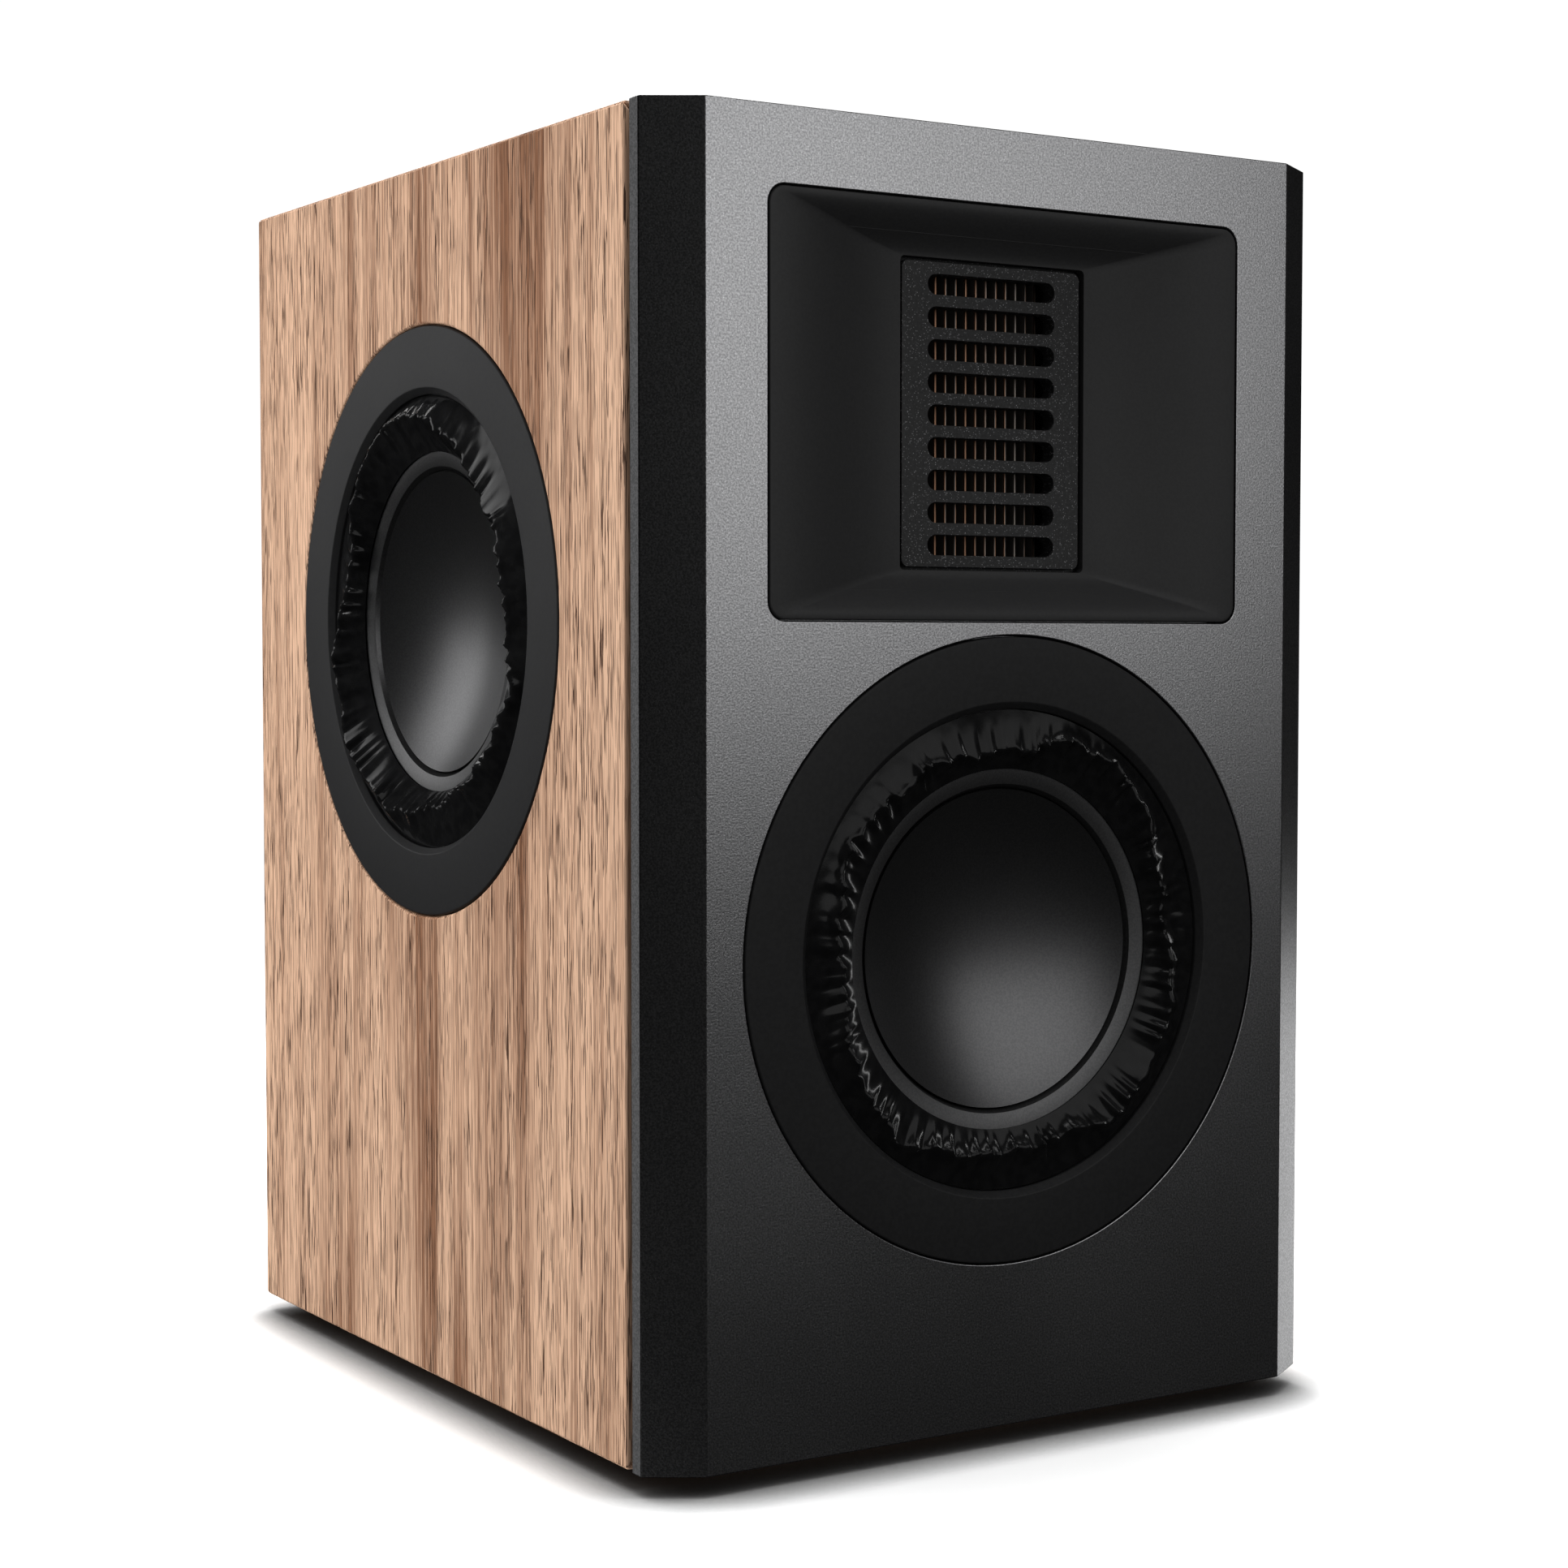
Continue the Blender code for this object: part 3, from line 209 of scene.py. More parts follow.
number, vector, colour = "NodeSocketFloat", "NodeSocketVector", "NodeSocketColor"


# shared shader groups
def makeGrainGroup():
    tree, given, put = newGroup(
        "surfaceGrain", "ShaderNodeTree",
        [("Scale", number, 900.0), ("Cloud Scale", number, 14.0)],
        [("Grain", number), ("Cloud", number)],
    )
    spot = ownPlace(tree)
    fine = addNode(tree, "TexNoise", {"Vector": spot, "Scale": given["Scale"], "Detail": 3.0})
    cloud = addNode(tree, "TexNoise", {"Vector": spot, "Scale": given["Cloud Scale"], "Detail": 4.0})
    tree.links.new(fine.outputs["Fac"], put["Grain"])
    tree.links.new(between(tree, cloud.outputs["Fac"], 0.3, 0.7), put["Cloud"])
    return tree


def makeFlakeGroup():
    tree, given, put = newGroup(
        "metalFlake", "ShaderNodeTree",
        [("Scale", number, 2500.0), ("Rarity", number, 0.9)],
        [("Flake", number), ("Shade", number)],
    )
    spot = ownPlace(tree)
    cells = addNode(tree, "TexVoronoi", {"Vector": spot, "Scale": given["Scale"]})
    pick = addNode(tree, "SeparateColor", {"Color": cells.outputs["Color"]})
    chosen = between(tree, pick.outputs["Red"], given["Rarity"], 1.0)
    near = between(tree, cells.outputs["Distance"], 0.15, 0.5, 1.0, 0.0)
    tree.links.new(times(tree, chosen, near), put["Flake"])
    tree.links.new(pick.outputs["Green"], put["Shade"])
    return tree


def makeWoodGroup():
    tree, given, put = newGroup(
        "openWood", "ShaderNodeTree",
        [("Vector", vector, None), ("Light", colour, (0.6, 0.4, 0.28, 1)), ("Dark", colour, (0.3, 0.17, 0.1, 1)),
         ("Pore", colour, (0.12, 0.06, 0.035, 1)), ("Pore Amount", number, 1.0)],
        [("Colour", colour), ("Height", number), ("Roughness", number)],
    )

    # Z is along the grain
    def stretched(across, along, detail, wobble):
        change = {"Vector": given["Vector"], "Scale": (across, across, along), "Rotation": (0.5, 0.35, 0.2)}
        scaled = addNode(tree, "Mapping", change)
        noise = {"Vector": scaled.outputs[0], "Scale": 1.0, "Detail": detail, "Distortion": wobble}
        return addNode(tree, "TexNoise", noise).outputs["Fac"]

    broad = between(tree, stretched(26, 2.4, 2.0, 0.5), 0.42, 0.7)
    rings = between(tree, stretched(170, 5.0, 3.0, 0.5), 0.35, 0.75)
    fibre = stretched(2600, 18, 4.0, 0.1)
    poreField = stretched(3600, 105, 1.0, 0.1)
    poreCluster = between(tree, stretched(260, 12, 2.0, 0.3), 0.36, 0.6, 0.4, 1.0)
    pores = times(tree, between(tree, poreField, 0.545, 0.585), poreCluster)
    pores = times(tree, pores, given["Pore Amount"])
    tone = plus(tree, times(tree, broad, 0.72), times(tree, rings, 0.42))
    tone = plus(tree, tone, times(tree, minus(tree, fibre, 0.5), 2.6))
    body = blendColours(tree, between(tree, tone, 0.0, 1.0, shape="LINEAR"), given["Light"], given["Dark"])
    tree.links.new(blendColours(tree, pores, body, given["Pore"]), put["Colour"])
    height = minus(tree, times(tree, fibre, 0.3), pores)
    tree.links.new(height, put["Height"])
    tree.links.new(between(tree, tone, 0.0, 1.0, 0.5, 0.62, "LINEAR"), put["Roughness"])
    return tree


grainGroup = makeGrainGroup()
flakeGroup = makeFlakeGroup()
woodGroup = makeWoodGroup()
print("shader groups made")


# two tones, two roughnesses, metal, grain scale, grain depth in mm, then how shiny or which flake
finishes = {
    "baffleMetal": ((0.33, 0.33, 0.338), (0.56, 0.56, 0.57), (0.29, 0.32), 1.0, 2600, 0.05,
        {"flake": (3600, 0.75, (0.85, 0.85, 0.87))}),
    "satinBlack": ((0.0105, 0.0105, 0.011), (0.013, 0.013, 0.0135), (0.5, 0.56), 0.0, 1300, 0.012, {"shine": 0.3}),
    "guideBlack": ((0.017, 0.017, 0.0175), (0.02, 0.02, 0.0205), (0.5, 0.58), 0.0, 1700, 0.016, {"shine": 0.4}),
    "powderBlack": ((0.009, 0.009, 0.0095), (0.015, 0.015, 0.0155), (0.5, 0.64), 0.0, 1500, 0.06,
        {"flake": (3600, 0.7, (0.26, 0.26, 0.27))}),
    "glossRubber": ((0.004, 0.004, 0.0042), (0.006, 0.006, 0.0062), (0.14, 0.2), 0.0, 420, 0.03, {"shine": 0.2}),
    "coneCoat": ((0.13, 0.13, 0.132), (0.16, 0.16, 0.162), (0.38, 0.42), 0.95, 2600, 0.02),
    "dishCoat": ((0.15, 0.15, 0.153), (0.18, 0.18, 0.183), (0.34, 0.38), 0.97, 2600, 0.012),
    "footRubber": ((0.012, 0.012, 0.012), (0.02, 0.02, 0.02), (0.75, 0.9), 0.0, 900, 0.05),
    "castPaint": ((0.045, 0.045, 0.046), (0.07, 0.07, 0.072), (0.5, 0.65), 0.4, 700, 0.1),
    "ferriteGrey": ((0.03, 0.03, 0.032), (0.05, 0.05, 0.053), (0.65, 0.85), 0.1, 500, 0.1),
    "zincPlate": ((0.5, 0.5, 0.46), (0.62, 0.62, 0.6), (0.25, 0.42), 1.0, 300, 0.03),
    "goldPlate": ((0.74, 0.5, 0.2), (0.82, 0.6, 0.3), (0.16, 0.26), 1.0, 700, 0.01),
    "redPlastic": ((0.42, 0.018, 0.016), (0.5, 0.03, 0.026), (0.26, 0.36), 0.0, 900, 0.012),
    "knobBlack": ((0.012, 0.012, 0.012), (0.018, 0.018, 0.018), (0.28, 0.4), 0.0, 900, 0.012),
    "rearPaint": ((0.014, 0.014, 0.0145), (0.021, 0.021, 0.0215), (0.5, 0.62), 0.0, 620, 0.14),
    "cupPlastic": ((0.014, 0.014, 0.0145), (0.019, 0.019, 0.0195), (0.38, 0.5), 0.0, 1000, 0.05),
    "fibreboard": ((0.26, 0.19, 0.12), (0.38, 0.3, 0.2), (0.7, 0.85), 0.0, 260, 0.2),
    "formerFilm": ((0.3, 0.2, 0.08), (0.42, 0.3, 0.14), (0.3, 0.45), 0.0, 500, 0.03),
    "solderMask": ((0.02, 0.12, 0.05), (0.035, 0.17, 0.08), (0.3, 0.45), 0.0, 240, 0.05),
    "ceramicBody": ((0.68, 0.66, 0.6), (0.8, 0.78, 0.73), (0.6, 0.8), 0.0, 400, 0.12),
    "openFoam": ((0.035, 0.035, 0.038), (0.085, 0.085, 0.09), (0.9, 1.0), 0.0, 330, 0.9),
    "leadRubber": ((0.012, 0.012, 0.012), (0.022, 0.022, 0.022), (0.5, 0.65), 0.0, 700, 0.03),
    "screwBlack": ((0.03, 0.03, 0.031), (0.05, 0.05, 0.052), (0.3, 0.45), 0.8, 900, 0.02),
}


def emptyMaterial(name):
    material = bpy.data.materials.new(name)
    material.use_nodes = True
    tree = material.node_tree
    return material, tree, tree.nodes["Principled BSDF"]


def makeFinish(name):
    first, second, rough, metal, scale, depth, *more = finishes[name]
    more = more[0] if more else {}
    material, tree, shader = emptyMaterial(name)
    grain = addNode(tree, "Group", {"Scale": scale}, node_tree=grainGroup)
    tint = between(tree, grain.outputs["Grain"], 0.35, 0.65)
    base = blendColours(tree, tint, first, second)
    if "flake" in more:
        flakeScale, rarity, shine = more["flake"]
        flake = addNode(tree, "Group", {"Scale": flakeScale, "Rarity": rarity}, node_tree=flakeGroup)
        base = blendColours(tree, flake.outputs["Flake"], base, shine)
    rough = between(tree, grain.outputs["Cloud"], 0.0, 1.0, *rough, "LINEAR")
    feed(tree, shader, {"Base Color": base, "Roughness": rough, "Metallic": metal})
    feed(tree, shader, {"Specular IOR Level": more.get("shine", 0.5)})
    addBump(tree, shader, grain.outputs["Grain"], 0.6, depth * mm)
    return material


materials = {name: makeFinish(name) for name in finishes}


# the sides have upright grain, and the top carries it across
veneer = {
    "light": (0.70, 0.446, 0.298, 1),
    "dark": (0.215, 0.095, 0.047, 1),
    "pore": (0.075, 0.036, 0.021, 1),
    "poreDepth": 0.12,
}


def makeVeneer(name, turn, shift):
    material, tree, shader = emptyMaterial(name)
    spot = ownPlace(tree)
    placed = addNode(tree, "Mapping", {"Vector": spot, "Rotation": turn, "Location": shift})
    inputs = {"Vector": placed, "Light": veneer["light"], "Dark": veneer["dark"], "Pore": veneer["pore"]}
    wood = addNode(tree, "Group", inputs, node_tree=woodGroup)
    feed(tree, shader, {"Base Color": wood.outputs["Colour"], "Roughness": wood.outputs["Roughness"]})
    addBump(tree, shader, wood.outputs["Height"], 0.7, veneer["poreDepth"] * mm)
    return material


materials["veneerSide"] = makeVeneer("veneerSide", (0, 0, 0), (0.0, 0.0, 0.0))
materials["veneerTop"] = makeVeneer("veneerTop", (0, math.radians(90), 0), (0.31, 0.12, 0.4))


# enamelled wire lies in rings round the winding
def makeWinding(name, across, pitch):
    material, tree, shader = emptyMaterial(name)
    spot = ownPlace(tree)
    part = addNode(tree, "SeparateXYZ", {"Vector": spot}).outputs[across]
    wave = calc(tree, "PINGPONG", part, pitch / 2)
    turn = between(tree, wave, 0.0, pitch / 2)
    base = blendColours(tree, turn, (0.36, 0.13, 0.06), (0.78, 0.36, 0.2))
    feed(tree, shader, {"Base Color": base, "Metallic": 1.0, "Roughness": 0.3})
    addBump(tree, shader, turn, 0.8, 0.1 * mm)
    return material


materials["copperWinding"] = makeWinding("copperWinding", "Y", 0.5 * mm)


# resin-treated cloth, woven along X and Z
def makeWeave(name, pitch):
    material, tree, shader = emptyMaterial(name)
    spot = ownPlace(tree)
    parts = addNode(tree, "SeparateXYZ", {"Vector": spot})
    threads = [between(tree, calc(tree, "PINGPONG", parts.outputs[way], pitch / 2), 0, pitch / 2) for way in "XZ"]
    weave = calc(tree, "MAXIMUM", *threads)
    base = blendColours(tree, weave, (0.25, 0.13, 0.03), (0.6, 0.38, 0.13))
    feed(tree, shader, {"Base Color": base, "Roughness": 0.8})
    addBump(tree, shader, weave, 0.8, 0.15 * mm)
    return material


materials["spiderCloth"] = makeWeave("spiderCloth", 0.8 * mm)


# thin film: the fold tips towards the slots are bare conductor, and everything deeper is coloured dark as a painted
# shadow in the folds
def makeFilm(name, crestDepth, pitch):
    material, tree, shader = emptyMaterial(name)
    spot = ownPlace(tree)
    parts = addNode(tree, "SeparateXYZ", {"Vector": spot})
    crest = between(tree, parts.outputs["Y"], crestDepth + 0.1 * mm, crestDepth + 0.5 * mm, 1.0, 0.0)
    pleat = calc(tree, "FLOOR", calc(tree, "DIVIDE", parts.outputs["X"], pitch))
    chance = addNode(tree, "TexNoise", {"W": pleat, "Scale": 3.7, "Detail": 1.0}, noise_dimensions="1D")
    warm = between(tree, chance.outputs["Fac"], 0.42, 0.58)
    metal = blendColours(tree, warm, (0.25, 0.22, 0.195), (0.34, 0.19, 0.12))
    # away from the tips the film takes the dark colour, a painted shadow deep in the folds
    base = blendColours(tree, crest, (0.06, 0.054, 0.05), metal)
    rough = between(tree, crest, 0, 1, 0.6, 0.4, "LINEAR")
    feed(tree, shader, {"Base Color": base, "Roughness": rough, "Metallic": crest})
    return material


# small tools for meshes
def newMesh(name, points, faces):
    mesh = bpy.data.meshes.new(name)
    mesh.from_pydata(points, [], faces)
    return mesh


def addPiece(name, mesh, material, seat=None):
    if seat is not None:
        mesh.transform(seat)
    shape = bmesh.new()
    shape.from_mesh(mesh)
    bmesh.ops.remove_doubles(shape, verts=shape.verts, dist=0.0005 * mm)
    bmesh.ops.recalc_face_normals(shape, faces=shape.faces)
    shape.to_mesh(mesh)
    shape.free()
    mesh.materials.clear()
    mesh.materials.append(materials[material])
    piece = bpy.data.objects.new(name, mesh)
    scene.collection.objects.link(piece)
    return piece


def smooth(piece, angle=32):
    piece.data.shade_smooth()
    piece.data.set_sharp_from_angle(angle=math.radians(angle))
    return piece


def settle(piece):
    graph = bpy.context.evaluated_depsgraph_get()
    mesh = bpy.data.meshes.new_from_object(piece.evaluated_get(graph))
    piece.modifiers.clear()
    piece.data = mesh
    return piece


def takeMesh(piece):
    mesh = piece.data
    bpy.data.objects.remove(piece)
    return mesh


def bevel(piece, width, segments=3, angle=30):
    edge = piece.modifiers.new("edge", "BEVEL")
    edge.width = width
    edge.segments = segments
    edge.limit_method = "ANGLE"
    edge.angle_limit = math.radians(angle)
    settle(piece)
    smooth(piece, 50)
    flatten = piece.modifiers.new("flatten", "WEIGHTED_NORMAL")
    flatten.mode = "FACE_AREA"
    flatten.weight = 100
    flatten.keep_sharp = True
    return settle(piece)


def cutOut(piece, cutters):
    for cutter in cutters:
        hole = piece.modifiers.new("hole", "BOOLEAN")
        hole.operation = "DIFFERENCE"
        hole.solver = "EXACT"
        hole.object = cutter
    settle(piece)
    for cutter in cutters:
        bpy.data.objects.remove(cutter)
    return piece


def rounded(corners, radii, steps=5):
    # fillets each corner of a closed outline of (radius, depth) pairs
    points = [Vector(corner) for corner in corners]
    outline = []
    for index, (corner, radius) in enumerate(zip(points, radii)):
        if radius == 0:
            outline.append(tuple(corner))
            continue
        back = (points[index - 1] - corner).normalized()
        ahead = (points[(index + 1) % len(points)] - corner).normalized()
        half = back.angle(ahead) / 2
        centre = corner + (back + ahead).normalized() * radius / math.sin(half)
        start = corner + back * radius / math.tan(half) - centre
        end = corner + ahead * radius / math.tan(half) - centre
        sweep = start.angle_signed(end)
        for step in range(steps + 1):
            spoke = start.copy()
            spoke.rotate(Matrix.Rotation(-sweep * step / steps, 2))
            outline.append(tuple(centre + spoke))
    return outline


def turned(name, outline, material, seat, steps=160):
    # a closed outline of (radius, depth) turned about the seat's axis
    vertices, rings = [], []
    for radius, depth in outline:
        count = 1 if abs(radius) < 1e-9 else steps
        rings.append(range(len(vertices), len(vertices) + count))
        for step in range(count):
            angle = math.tau * step / steps
            vertices.append((radius * math.cos(angle), radius * math.sin(angle), depth))
    faces = []
    for ring, other in zip(rings, rings[1:] + rings[:1]):
        if len(ring) == 1 and len(other) == 1:
            continue
        for step in range(steps):
            following = (step + 1) % steps
            loop = [ring[step % len(ring)], ring[following % len(ring)]]
            loop += [other[following % len(other)], other[step % len(other)]]
            faces.append(list(dict.fromkeys(loop)))
    return smooth(addPiece(name, newMesh(name, vertices, faces), material, seat))


def roundRect(width, height, corner, depth, steps=8):
    points = []
    for quarter, (sideX, sideY) in enumerate(((1, 1), (-1, 1), (-1, -1), (1, -1))):
        for step in range(steps + 1):
            angle = math.pi / 2 * (quarter + step / steps)
            points.append((
                sideX * (width / 2 - corner) + corner * math.cos(angle),
                sideY * (height / 2 - corner) + corner * math.sin(angle),
                depth,
            ))
    return points


def lofted(name, loops, material, seat, capped=False, angle=32):
    count = len(loops[0])
    vertices = [point for loop in loops for point in loop]
    faces = []
    spans = len(loops) - 1 if capped else len(loops)
    for span in range(spans):
        here, there = span * count, (span + 1) % len(loops) * count
        for index in range(count):
            after = (index + 1) % count
            faces.append((here + index, here + after, there + after, there + index))
    if capped:
        faces += [list(range(count)), list(range((len(loops) - 1) * count, len(loops) * count))]
    return smooth(addPiece(name, newMesh(name, vertices, faces), material, seat), angle)


def prism(name, outline, along, material):
    # a flat outline of 3-D points drawn out along a vector
    count = len(outline)
    vertices = [Vector(point) for point in outline]
    vertices += [point + Vector(along) for point in vertices]
    faces = [list(range(count)), list(range(count, 2 * count))]
    faces += [(i, (i + 1) % count, count + (i + 1) % count, count + i) for i in range(count)]
    return addPiece(name, newMesh(name, vertices, faces), material)


def newGeometryTree(name, inputs):
    listed = [("Geometry", "NodeSocketGeometry", None)] + inputs
    return newGroup(name, "GeometryNodeTree", listed, [("Geometry", "NodeSocketGeometry")])


def socketsOf(values):
    return [(label, "NodeSocketInt" if isinstance(value, int) else number, value) for label, value in values.items()]


def joined(tree, *parts):
    both = addShape(tree, "JoinGeometry")
    for part in parts:
        feed(tree, both, {0: part})
    return both


def carved(tree, solid, cutter):
    return addShape(tree, "MeshBoolean", {"Mesh 1": solid, "Mesh 2": cutter}, operation="DIFFERENCE", solver="EXACT")


def endTree(tree, geometry, put, material):
    whole = addShape(tree, "RealizeInstances", {"Geometry": geometry})
    inputs = {"Geometry": whole.outputs[0], "Material": materials[material]}
    finished = addShape(tree, "SetMaterial", inputs)
    tree.links.new(finished.outputs[0], put["Geometry"])


def grown(name, tree, values, material, seat=None, start=None):
    # runs a geometry tree on a mesh and keeps the plain result
    piece = bpy.data.objects.new(name, start or bpy.data.meshes.new(name))
    scene.collection.objects.link(piece)
    growth = piece.modifiers.new("growth", "NODES")
    growth.node_group = tree
    for socket in tree.interface.items_tree:
        if socket.in_out == "INPUT" and socket.name in values:
            growth[socket.identifier] = values[socket.name]
    settle(piece)
    return smooth(addPiece(name, takeMesh(piece), material, seat))


def standFor(piece, body, slotName, *nodes):
    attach(piece, body)
    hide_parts(*nodes)
    return piece


# cabinet
cabinet = {
    "chamfer": (10.6 * mm, 6.6 * mm),
    "baffleEdge": 0.25 * mm,
    "panelEdge": 0.7 * mm,
    "wall": 12 * mm,
    "mitreGap": 0.06 * mm,
}


def driverOpening(name, seat):
    # the stepped hole for a trim ring, a flange and a basket
    outline = [(0, -12), (62.5, -12), (62.5, 3.0), (56.0, 3.0), (56.0, 7.7), (50.5, 7.7), (50.5, 24), (0, 24)]
    outline = [(radius * mm, depth * mm) for radius, depth in outline]
    return turned(name, outline, "satinBlack", seat, 192)


def makeBaffle():
    low, high = (Vector(corner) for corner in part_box("front_baffle"))
    across, deep = cabinet["chamfer"]
    outline = [
        (low.x, high.y, low.z), (low.x, low.y + deep, low.z), (low.x + across, low.y, low.z),
        (high.x - across, low.y, low.z), (high.x, low.y + deep, low.z), (high.x, high.y, low.z),
    ]
    baffle = prism("frontBaffle", outline, (0, 0, high.z - low.z), "baffleMetal")
    loops = [
        roundRect(114.0 * mm, 81.4 * mm, 3.7 * mm, -12 * mm), roundRect(114.0 * mm, 81.4 * mm, 3.7 * mm, 5.4 * mm),
        roundRect(100 * mm, 71 * mm, 3.4 * mm, 5.4 * mm), roundRect(100 * mm, 71 * mm, 3.4 * mm, 24 * mm),
    ]
    guideHole = lofted("guideHole", loops, "satinBlack", seats["tweeter"], capped=True)
    cutOut(baffle, [driverOpening("wooferHole", seats["woofer"]), guideHole])
    bevel(baffle, cabinet["baffleEdge"], 2)
    return standFor(baffle, "cabinet", "anodised_grey", "front_baffle")


def makeSidePanel(node, seatName, name):
    low, high = (Vector(corner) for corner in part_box(node))
    outer, inner = (low.x, high.x) if high.x < 0 else (high.x, low.x)
    slack, wall = cabinet["mitreGap"], cabinet["wall"]
    floor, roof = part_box("bottom_panel")[0][2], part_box("top_panel")[1][2]
    outline = [
        (outer, low.y, floor + slack), (outer, low.y, roof - slack),
        (inner, low.y, roof - wall - slack), (inner, low.y, floor + wall + slack),
    ]
    panel = prism(name, outline, (0, high.y - low.y, 0), "veneerSide")
    cutOut(panel, [driverOpening("radiatorHole", seats[seatName])])
    bevel(panel, cabinet["panelEdge"], 3)
    return standFor(panel, "cabinet", "walnut", node)


def makeLevelPanel(node, name, upward):
    low, high = (Vector(corner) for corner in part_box(node))
    side = cadHigh[0]
    outer, inner = (high.z, low.z) if upward else (low.z, high.z)
    slack, wall = cabinet["mitreGap"], cabinet["wall"]
    outline = [
        (-side + slack, low.y, outer), (side - slack, low.y, outer),
        (side - wall - slack, low.y, inner), (-side + wall + slack, low.y, inner),
    ]
    panel = prism(name, outline, (0, high.y - low.y, 0), "veneerTop")
    bevel(panel, cabinet["panelEdge"], 3)
    return standFor(panel, "cabinet", "walnut", node)


makeBaffle()
makeSidePanel("side_panel_left", "leftRadiator", "sidePanelLeft")
makeSidePanel("side_panel_right", "rightRadiator", "sidePanelRight")
makeLevelPanel("top_panel", "topPanel", True)
makeLevelPanel("bottom_panel", "bottomPanel", False)
print("cabinet made")


# round rubber feet with a rolled lower edge
foot = {"radius": 10 * mm, "roll": 0.9 * mm, "dish": 0.3 * mm}


def makeFoot(node, name):
    low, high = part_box(node)
    seat = Matrix.Translation((middle(node).x, middle(node).y, 0))
    tall = high[2] - low[2]
    radius, hollow = foot["radius"], foot["dish"]
    corners = [(0, hollow), (4 * mm, hollow), (4.6 * mm, 0), (radius, 0), (radius, tall), (0, tall)]
    outline = rounded(corners, [0, 0, 0.2 * mm, foot["roll"], 0.4 * mm, 0])
    standFor(turned(name, outline, "footRubber", seat, 64), "cabinet", "black_rubber", node)


for end in ("front", "rear"):
    for hand in ("left", "right"):
        makeFoot(f"foot_{end}_{hand}", f"foot{end.title()}{hand.title()}")
print("feet made")


# woofer and radiator faces share their shapes
trimRing = {"outer": 62.2, "inner": 48.0, "thick": 2.7, "edge": 0.4, "lip": (49.3, 1.25)}
coneRim = {"outer": 36.4, "face": 3.5, "lipStart": 32.95, "lipEnd": 32.3}
dish = {"radius": 31.9, "rim": 5.0, "sink": 9.0, "wall": 1.0}


def scaled(outline):
    return [(radius * mm, depth * mm) for radius, depth in outline]


def makeTrimRing(name, seat, node):
    lipRadius, lipDepth = trimRing["lip"]
    corners = [
        (trimRing["inner"], lipDepth), (lipRadius, 0.0), (trimRing["outer"], 0.0),
        (trimRing["outer"], trimRing["thick"]), (trimRing["inner"], trimRing["thick"]),
    ]
    outline = rounded(corners, [0.35, 0.5, trimRing["edge"], 0.1, 0.1], 6)
    return standFor(turned(name, scaled(outline), "satinBlack", seat, 224), "cabinet", "satin_black", node)


def makeCone(name, seat, node, body, tail):
    face = coneRim["face"]
    corners = [
        (coneRim["outer"], face + 1.5), (coneRim["outer"], face), (coneRim["lipStart"], face + 0.85),
        (coneRim["lipEnd"], face + 2.1), (coneRim["lipEnd"], face + 3.1),
    ]
    outline = rounded(corners + tail, [0, 0.35, 0.12, 0.12, 0] + [0] * len(tail), 5)
    return standFor(turned(name, scaled(outline), "coneCoat", seat, 192), body, "cone_grey", node)


def makeDish(name, seat, node, body):
    radius, sink = dish["radius"], dish["sink"]
    sphere = (radius**2 + sink**2) / (2 * sink)
    front = []
    for ring in range(41):
        reach = radius * ring / 40
        front.append((reach, dish["rim"] + sink - (sphere - math.sqrt(sphere**2 - reach**2))))
    back = [(reach, depth + dish["wall"]) for reach, depth in reversed(front)]
    return standFor(turned(name, scaled(front + back), "dishCoat", seat, 160), body, "cone_grey", node)


# the rubber surround: a half roll whose crest weaves between its edges, with pleats across it
surround = {
    "Outer": 47.75 * mm,
    "Inner": 36.0 * mm,
    "Outer Depth": 1.7 * mm,
    "Inner Depth": 3.3 * mm,
    "Roll Height": 2.7 * mm,
    "Weaves": 4.0,
    "Weave Reach": 0.26,
    "Weave Start": 0.35,
    "Pleats": 60.0,
    "Stray": 4.5,
    "Pleat Height": 0.85 * mm,
    "Crease": 0.7,
    "Wall": 0.9 * mm,
}


